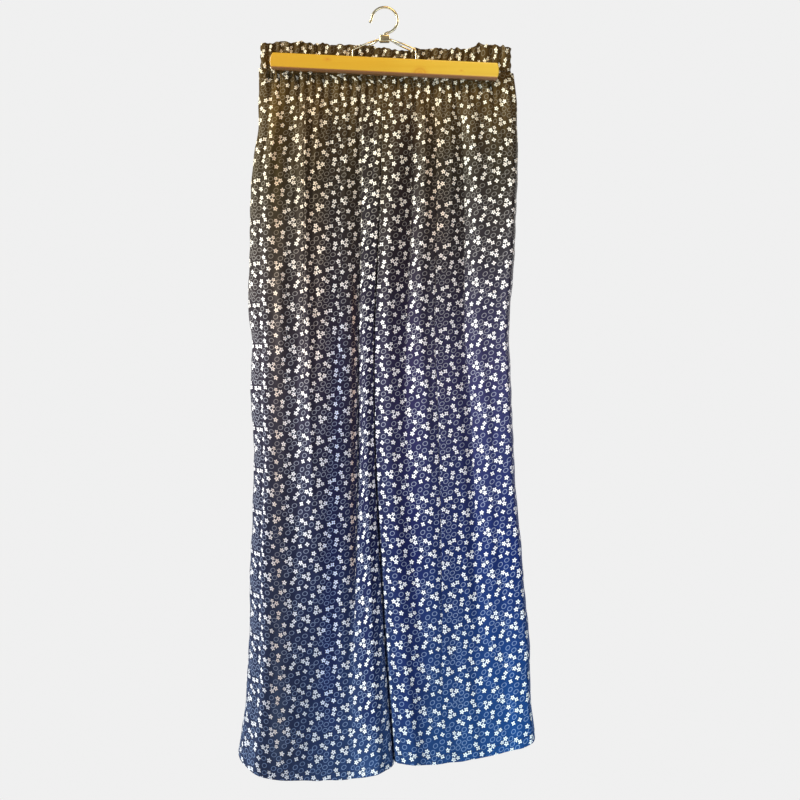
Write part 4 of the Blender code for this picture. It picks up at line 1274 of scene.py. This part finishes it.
# Streaks of painted light and painted shade. They tint the ground and the print along the lit
# and shaded sides of folds, along the lit side seam, and where warm and cool light falls.
PaintedStreak = namedtuple("PaintedStreak", "top_x top_z low_x low_z half soft ground printed")
PAINTED_STREAKS = table(PaintedStreak, [  # places and widths in millimetres
    (-146, -110, -142, -1000, 8, 12, (1.75, 1.75, 1.45), (1.04, 0.90, 0.77)),
    (-100, -110, -96, -520, 20, 16, (0.92, 0.88, 0.85), (1.02, 0.94, 0.87)),
    (-65, -140, -72, -980, 14, 16, (0.78, 0.76, 0.90), (0.96, 0.98, 1.02)),
    (-58, -440, -78, -940, 8, 14, (0.95, 0.97, 1.10), (0.84, 0.93, 1.10)),
    (-96, -780, -96, -1020, 26, 30, (0.78, 0.82, 0.92), (0.84, 0.88, 0.92)),
    (-41, -370, -43, -780, 3, 4, (1.00, 0.82, 0.72), (0.92, 0.72, 0.58)),
    (-22, -130, -20, -980, 13, 14, (0.50, 0.49, 0.69), (1.05, 1.05, 1.05)),
    (26, -130, 34, -980, 20, 22, (0.74, 0.66, 0.88), (1.02, 1.02, 1.02)),
    (62, -125, 72, -330, 16, 16, (0.92, 0.90, 0.90), (1.03, 0.93, 0.85)),
    (152, -130, 160, -640, 12, 16, (1.20, 1.22, 1.08), (1.00, 1.00, 1.00)),
])
PAINTED_STREAK_END = 60 * MM              # length over which a streak fades out
PEACH = (0.45, 0.22, 0.12)        # warms the hearts of the flowers
# Painted cool light: the rings turn bluer low down.
RING_COOL_LIGHT = (0.55, 0.75, 1.10)    # bluer rings low down
GROUND_DEEP = (0.010, 0.010, 0.014)
OUTLINE = (0.004, 0.004, 0.007)


def dye_and_light(column, fall, to_right):
    """A colour of both legs, eased from the left one's to the right one's."""
    left, right = (viscose.gradient([(row.fall, getattr(row, column)) for row in dye_and_light_rows], fall)
                   for dye_and_light_rows in (LEFT_DYE_AND_LIGHT, RIGHT_DYE_AND_LIGHT))
    return viscose.blend(to_right, left, right)


# %% Print colour, painted light and painted shade of the cloth
position = viscose.place()
across_at, _, height_at = viscose.split(position)
fall = viscose.stretch(height_at, -1.0, -0.04)
to_right = viscose.stretch(across_at, 1.0 / 0.30, 0.45)
# The print's colours, with the painted warm and cool light in them.
ground = dye_and_light("ground", fall, to_right)
white = dye_and_light("flower", fall, to_right)
# Each streak multiplies the ground and the print by its tints, as painted light and painted
# shade.
for painted_streak in PAINTED_STREAKS:
    slant = (painted_streak.low_x - painted_streak.top_x) / (painted_streak.low_z - painted_streak.top_z)
    centre = height_at * slant + (painted_streak.top_x - slant * painted_streak.top_z) * MM
    beside = viscose.math("ABSOLUTE", across_at - centre) - painted_streak.half * MM
    middle = (painted_streak.top_z + painted_streak.low_z) / 2.0 * MM
    length = (painted_streak.top_z - painted_streak.low_z) * MM
    beyond = viscose.math("ABSOLUTE", height_at - middle) - length / 2.0
    here = viscose.within(beside, painted_streak.soft * MM) * viscose.within(beyond, PAINTED_STREAK_END)
    ground = viscose.blend(here, ground, viscose.vector("MULTIPLY", ground, painted_streak.ground))
    white = viscose.blend(here, white, viscose.vector("MULTIPLY", white, painted_streak.printed))

# %% Colours and weave of the cloth
uneven = viscose.noise(position, 45.0, Detail=3.0)
ground = viscose.blend(uneven * 0.35, ground, GROUND_DEEP)
ground = viscose.blend(outline * 0.55, ground, OUTLINE)
# Painted cool light makes the rings bluer towards the hem.
low_down = viscose.stretch(fall, 1.5, -0.5)
ring_white = viscose.blend(low_down, white, viscose.vector("MULTIPLY", white, RING_COOL_LIGHT))
ring_share = viscose.math("MINIMUM", fall * 0.52 + 0.12, 0.37)
colour = viscose.blend(ring_line, ground, viscose.blend(ring_share, ground, ring_white))
colour = viscose.blend(flower, colour, white)
colour = viscose.blend(round_heart * 0.45, colour, viscose.blend(0.45, white, PEACH))
colour = viscose.blend(heart * 0.85, colour, ground)

weave = viscose.bands("X", cloth_place, 0.75)
weft = viscose.bands("Y", cloth_place, 0.75)
crepe = viscose.noise(cloth_place, 0.35, Detail=2.0)
soft = viscose.bump(crepe, 0.35, 0.0012)
fabric = viscose.bump(weave * 0.5 + weft * 0.5, 0.15, 0.00012, soft)
viscose.shade(Base_Color=colour, Normal=fabric, Roughness=0.58 + uneven * 0.15,
              Specular_IOR_Level=0.06)
print("nodes in the print:", len(viscose.nodes))

# %% Thread
thread = Finish("navy_thread", 0.7)
twist = thread.bands("DIAGONAL", thread.place(), 900.0, 1.0)
thread.shade(Base_Color=thread.blend(twist * 0.6, (0.020, 0.020, 0.034), (0.045, 0.045, 0.070)),
             Normal=thread.bump(twist, 0.4, 0.0001))

# %% Dress the cloth
for panel, rows_made in zip(panels, hem_rows):
    dress(panel.piece, viscose, panel.plan.name.replace("_", "_panel_"))
    dress(rows_made, thread)

dress(waistband, viscose, "waistband")
dress(casing_stitches, thread)

# %% [markdown]
# ## Wooden slats
#
# Each slat is a strip of varnished wood with softly rounded edges and slightly
# curved ends. It starts as a cube at its true size. Bisecting it makes the rows
# that the curved end needs, and the end rows are moved. The lower edge is planed
# back to a lip, and a bevel rounds every edge. The wire's two holes are bored in
# the top, with a small cylinder as the drill.

# %% Slat shape
SLAT_BEVEL = 1.2 * MM
SLAT_LIP = 3.2 * MM               # the lower edge, planed back under the face
SLAT_LIP_BACK = 4.2 * MM
SLAT_ROWS = 7
BAIL_RADIUS = 1.2 * MM
BAIL_HALF_SPAN = 42.8 * MM
BAIL_PLANE = 9.3 * MM
BAIL_SINK = 9.0 * MM
HOLE_FIT = 0.3 * MM
DRILL_EXTRA = 3.0 * MM
END_CURVE = {-1: 3.6 * MM, 1: 2.4 * MM}


def only(piece):
    """Select one object and make it the one that operators act on."""
    bpy.ops.object.select_all(action="DESELECT")
    piece.select_set(True)
    bpy.context.view_layer.objects.active = piece


def settle(piece):
    """Put the place and turn of an object into its mesh."""
    only(piece)
    bpy.ops.object.transform_apply(location=True, rotation=True, scale=True)


def block(name, size, place=(0.0, 0.0, 0.0)):
    """A plain block of this size."""
    bpy.ops.object.select_all(action="DESELECT")
    bpy.ops.mesh.primitive_cube_add(size=1.0, location=place)
    made = bpy.context.object
    made.name = made.data.name = name
    made.scale = size
    settle(made)
    return made


def apply_now(piece, modifier):
    only(piece)
    bpy.ops.object.modifier_apply(modifier=modifier.name)


def round_edges(piece, width, segments):
    rounding = piece.modifiers.new("round edges", "BEVEL")
    rounding.width = width
    rounding.segments = segments
    rounding.limit_method = "ANGLE"
    rounding.angle_limit = math.radians(40.0)
    apply_now(piece, rounding)


def bore(piece, radius, length, place, rotation=(0.0, 0.0, 0.0)):
    """Drill a round hole."""
    bpy.ops.object.select_all(action="DESELECT")
    bpy.ops.mesh.primitive_cylinder_add(vertices=24, radius=radius, depth=length,
                                        location=place, rotation=rotation)
    drill = bpy.context.object
    hole = piece.modifiers.new("hole", "BOOLEAN")
    hole.operation = "DIFFERENCE"
    hole.solver = "EXACT"
    hole.object = drill
    apply_now(piece, hole)
    bpy.data.objects.remove(drill, do_unlink=True)


def make_slat(name, facing):
    height = SLAT_HEIGHT + SLAT_LIP
    slat = block(name, (SLAT_LENGTH, SLAT_DEPTH, height))
    bpy.ops.object.mode_set(mode="EDIT")
    for k in range(1, SLAT_ROWS):
        level = (k / SLAT_ROWS - 0.5) * height
        bpy.ops.mesh.select_all(action="SELECT")
        bpy.ops.mesh.bisect(plane_co=(0.0, 0.0, level), plane_no=(0.0, 0.0, 1.0))
    bpy.ops.object.mode_set(mode="OBJECT")
    for vertex in slat.data.vertices:
        side = 1 if vertex.co.x > 0.0 else -1
        away = 2.0 * vertex.co.z / height
        vertex.co.x -= side * END_CURVE[side] * away * away
        if vertex.co.z < -0.49 * height and vertex.co.y * facing > 0.0:
            vertex.co.y -= facing * SLAT_LIP_BACK
    round_edges(slat, SLAT_BEVEL, 3)
    slat.location = (0.0, facing * (SLAT_INNER + SLAT_DEPTH / 2.0),
                     WAIST_TOP - SLAT_DROP - SLAT_LIP / 2.0)
    slat.rotation_euler = (0.0, SLAT_TILT, 0.0)
    settle(slat)
    for side in (-1, 1):
        x = side * BAIL_HALF_SPAN
        top = WAIST_TOP - float(slat_top(x))
        bore(slat, BAIL_RADIUS + HOLE_FIT, BAIL_SINK + DRILL_EXTRA,
             (x, facing * BAIL_PLANE, top - BAIL_SINK / 2.0 + DRILL_EXTRA / 2.0))
    bpy.ops.object.shade_smooth_by_angle(angle=math.radians(30.0))
    return slat


FACINGS = {"front": -1, "back": 1}
slats = {side: make_slat("wood_slat_" + side, facing) for side, facing in FACINGS.items()}
print("slats:", {name: len(s.data.polygons) for name, s in slats.items()})

# %% [markdown]
# ## Golden varnished wood
#
# The wood is pale under a golden varnish. Its grain runs along the slat, so a
# noise texture is stretched along X. There are two small knots, and the arch of
# a branch that the saw cut just below. The varnish is darker round all three.
# The slat is painted darker at its left end and lighter at its right end, as
# painted light and shade, and the planed lip is painted darker and browner, as
# painted shade under the slat.

# %% Varnished wood
Knot = namedtuple("Knot", "x z across along")
KNOTS = table(Knot, [(-77.0, -72.5, 4.2, 2.4), (104.0, -88.0, 2.0, 1.2)])   # millimetres
ARCH = Knot(48.0, -91.0, 12.0, 10.0)
# Painted light and shade along the slat: darker at its left end, lighter at its right end.
SLAT_PAINTED_LIGHT = ((0.0, (0.68, 0.66, 0.25)), (0.5, (0.86, 0.89, 0.56)), (1.0, (1.20, 1.45, 1.65)))
GOLD_DARK, GOLD_LIGHT = (0.66, 0.34, 0.022), (0.76, 0.46, 0.045)
GOLD_CLOUD, GOLD_KNOT = (0.78, 0.40, 0.025), (0.60, 0.20, 0.010)
# Painted shade for the planed lip under the slat's face.
LIP_EDGE_SHADE, LIP_UNDER_SHADE = (0.42, 0.115, 0.020), (0.22, 0.095, 0.038)

varnish = Finish("golden_varnished_wood", 0.38)
slat_place = varnish.place()
slat_x, _, slat_z = varnish.split(slat_place)
grain_place = varnish.node("Mapping", None, {0: slat_place, "Rotation": (0.0, SLAT_TILT, 0.0),
                                             "Scale": (9.0, 260.0, 260.0)})
grain = varnish.noise(grain_place, 1.0, Detail=5.0, Roughness=0.6, Distortion=0.4)
cloud = varnish.noise(slat_place, 14.0, Detail=2.0)


def from_knot(knot):
    """Distance from a knot's middle, 1 at its edge."""
    return varnish.length((slat_x - knot.x * MM) / (knot.across * MM),
                          (slat_z - knot.z * MM) / (knot.along * MM))


arch = from_knot(ARCH) + grain * 0.15
arch_rings = varnish.math("ABSOLUTE", varnish.math("SINE", arch * 7.0))
knots = varnish.within(arch - 0.9, 0.5) * (arch_rings * 0.35 + 0.2)
for knot in KNOTS:
    away = from_knot(knot)
    mark = varnish.within(away - 0.9, 2.0) * 0.55 + varnish.within(away - 0.25, 0.5) * 0.45
    knots = varnish.math("MAXIMUM", knots, mark)
gold = varnish.blend(grain, GOLD_DARK, GOLD_LIGHT)
gold = varnish.blend(cloud * 0.5, gold, GOLD_CLOUD)
gold = varnish.blend(knots * 0.9, gold, GOLD_KNOT)
# Painted shade: the lip under the front face is painted dark red-brown, darker further under.
face_bottom = WAIST_TOP - SLAT_DROP - SLAT_HEIGHT / 2.0
above_lip = slat_z + slat_x * math.tan(SLAT_TILT) - face_bottom
gold = varnish.blend(varnish.within(above_lip - 0.3 * MM, 0.8 * MM) * 0.9, gold, LIP_EDGE_SHADE)
gold = varnish.blend(varnish.within(above_lip + 0.9 * MM, 1.0 * MM) * 0.9, gold, LIP_UNDER_SHADE)
# Painted light and shade: the wood's colour is multiplied darker to the left and lighter to the
# right.
painted_light_along_slat = varnish.gradient(SLAT_PAINTED_LIGHT, varnish.stretch(slat_x, 1.0 / SLAT_LENGTH, 0.5))
gold = varnish.vector("MULTIPLY", gold, painted_light_along_slat)
varnish.shade(Base_Color=gold, Normal=varnish.bump(grain, 0.15, 0.0004),
              Roughness=0.34 + grain * 0.12, Coat_Weight=0.25, Coat_Roughness=0.25)

# %% [markdown]
# ## Wire bails, clasp and hook
#
# These are bent from round wire. A curve is the natural way to draw a wire: it
# follows a list of points, and its bevel gives it thickness. It is made a mesh
# at the end, so that it bakes like the other pieces.

# %% Wires
Arm = namedtuple("Arm", "x out height")
BAIL_ARM = table(Arm, [  # millimetres
    (26.0, 9.3, -50.7), (22.0, 8.7, -49.0), (18.0, 7.2, -47.2), (12.0, 4.2, -44.5),
    (9.5, 3.1, -43.2), (7.3, 2.7, -42.6), (3.5, 2.7, -42.6),
])
BAIL_SHOULDER = -60.5 * MM
BAIL_CORNER = 3.5 * MM
CLASP_SIZE = (14.0 * MM, 11.5 * MM, 9.5 * MM)
CLASP_MIDDLE = -41.3 * MM
CLASP_EDGE = 1.6 * MM
CLASP_WIRE_HEIGHT = -42.6 * MM
CLASP_WIRE_PLANE = 2.7 * MM
HOOK_RADIUS = 1.75 * MM
HOOK_INSIDE = 16.0 * MM           # its radius
HOOK_STEM = [(0.0, -39.2), (0.0, -37.6), (0.0, -36.2), (0.9, -34.6), (3.4, -33.2)]
HOOK_FLARE = [(-0.9, -3.6), (-2.6, -6.8)]


def wire(name, route, radius, smooth=6):
    """Round wire through points, as a smooth curve made into a mesh."""
    drawing = bpy.data.curves.new(name, "CURVE")
    drawing.dimensions = "3D"
    drawing.bevel_depth = radius
    drawing.bevel_resolution = 4
    drawing.use_fill_caps = True
    drawing.resolution_u = smooth
    line = drawing.splines.new("BEZIER")
    line.bezier_points.add(len(route) - 1)
    for point, place in zip(line.bezier_points, route):
        point.co = place
        point.handle_left_type = "AUTO"
        point.handle_right_type = "AUTO"
    only(add_to_scene(name, drawing))
    bpy.ops.object.convert(target="MESH")
    made = bpy.context.object
    bpy.ops.object.mode_set(mode="EDIT")
    bpy.ops.mesh.select_all(action="SELECT")
    bpy.ops.mesh.remove_doubles(threshold=1e-6)
    bpy.ops.mesh.normals_make_consistent(inside=False)
    bpy.ops.object.mode_set(mode="OBJECT")
    bpy.ops.object.shade_smooth_by_angle(angle=math.radians(50.0))
    return made


def bail_route(facing):
    half = {}
    for side in (-1, 1):
        x = side * BAIL_HALF_SPAN
        foot = WAIST_TOP - float(slat_top(x))
        leg = [(x, facing * BAIL_PLANE, foot - BAIL_SINK + HOLE_FIT),
               (x, facing * BAIL_PLANE, foot - 2.0 * MM)]
        for degrees in (0, 16, 33, 50, 66):
            angle = math.radians(degrees)
            leg.append((x - side * BAIL_CORNER * (1.0 - math.cos(angle)),
                        facing * BAIL_PLANE,
                        BAIL_SHOULDER + BAIL_CORNER * math.sin(angle)))
        for arm in BAIL_ARM:
            leg.append((side * arm.x * MM, facing * arm.out * MM, arm.height * MM))
        half[side] = leg
    return half[-1] + half[1][::-1]


def hook_route():
    turn_radius = HOOK_INSIDE + HOOK_RADIUS
    route = [(x * MM, 0.0, z * MM) for x, z in HOOK_STEM]
    for degrees in range(-66, 169, 13):
        angle = math.radians(degrees)
        route.append((turn_radius * math.cos(angle), 0.0,
                      -HOOK_INSIDE + turn_radius * math.sin(angle)))
    x, _, z = route[-1]
    return route + [(x + dx * MM, 0.0, z + dz * MM) for dx, dz in HOOK_FLARE]


bails = {side: wire("wire_bail_" + side, bail_route(facing), BAIL_RADIUS)
         for side, facing in FACINGS.items()}
hook = wire("wire_hook", hook_route(), HOOK_RADIUS, smooth=8)

# %% Clasp
clasp = block("steel_clasp", CLASP_SIZE, (0.0, 0.0, CLASP_MIDDLE))
round_edges(clasp, CLASP_EDGE, 4)
for facing in FACINGS.values():
    bore(clasp, BAIL_RADIUS + HOLE_FIT, CLASP_SIZE[0] + 4.0 * MM,
         (0.0, facing * CLASP_WIRE_PLANE, CLASP_WIRE_HEIGHT),
         (0.0, math.radians(90.0), 0.0))
bore(clasp, HOOK_RADIUS + HOLE_FIT, 12.0 * MM,
     (0.0, 0.0, HOOK_STEM[0][1] * MM - HOLE_FIT + 6.0 * MM))
bpy.ops.object.shade_smooth_by_angle(angle=math.radians(30.0))
print("wires:", {w.name: len(w.data.polygons) for w in (*bails.values(), hook, clasp)})

# %% Plated steel
plated = Finish("plated_wire", 0.28, 1.0)
steel_place = plated.place()
handled = plated.noise(steel_place, 160.0, Detail=4.0)
drawn_lines = plated.noise(steel_place, 1400.0, Detail=1.0)
plated.shade(Base_Color=plated.blend(handled, (0.74, 0.60, 0.30), (0.92, 0.80, 0.50)),
             Roughness=0.22 + handled * 0.18,
             Normal=plated.bump(drawn_lines, 0.10, 0.0001))

# %% Dress the hanger
for side in FACINGS:
    dress(slats[side], varnish, "slat_" + side)
    dress(bails[side], plated, "bail_" + side)
dress(clasp, plated, "clasp")
dress(hook, plated, "hook")

# %% [markdown]
# ## Floor
#
# A studio floor is plain and pale. It gets a little roughness so that the
# lamps don't mirror in it.

# %% Floor finish
paper = Finish("pale_floor", 0.8)
mottle = paper.noise(paper.place(), 3.0)
paper.shade(Base_Color=paper.blend(mottle, (0.80, 0.80, 0.80), (0.84, 0.84, 0.84)))
floor.data.materials.append(paper.material)
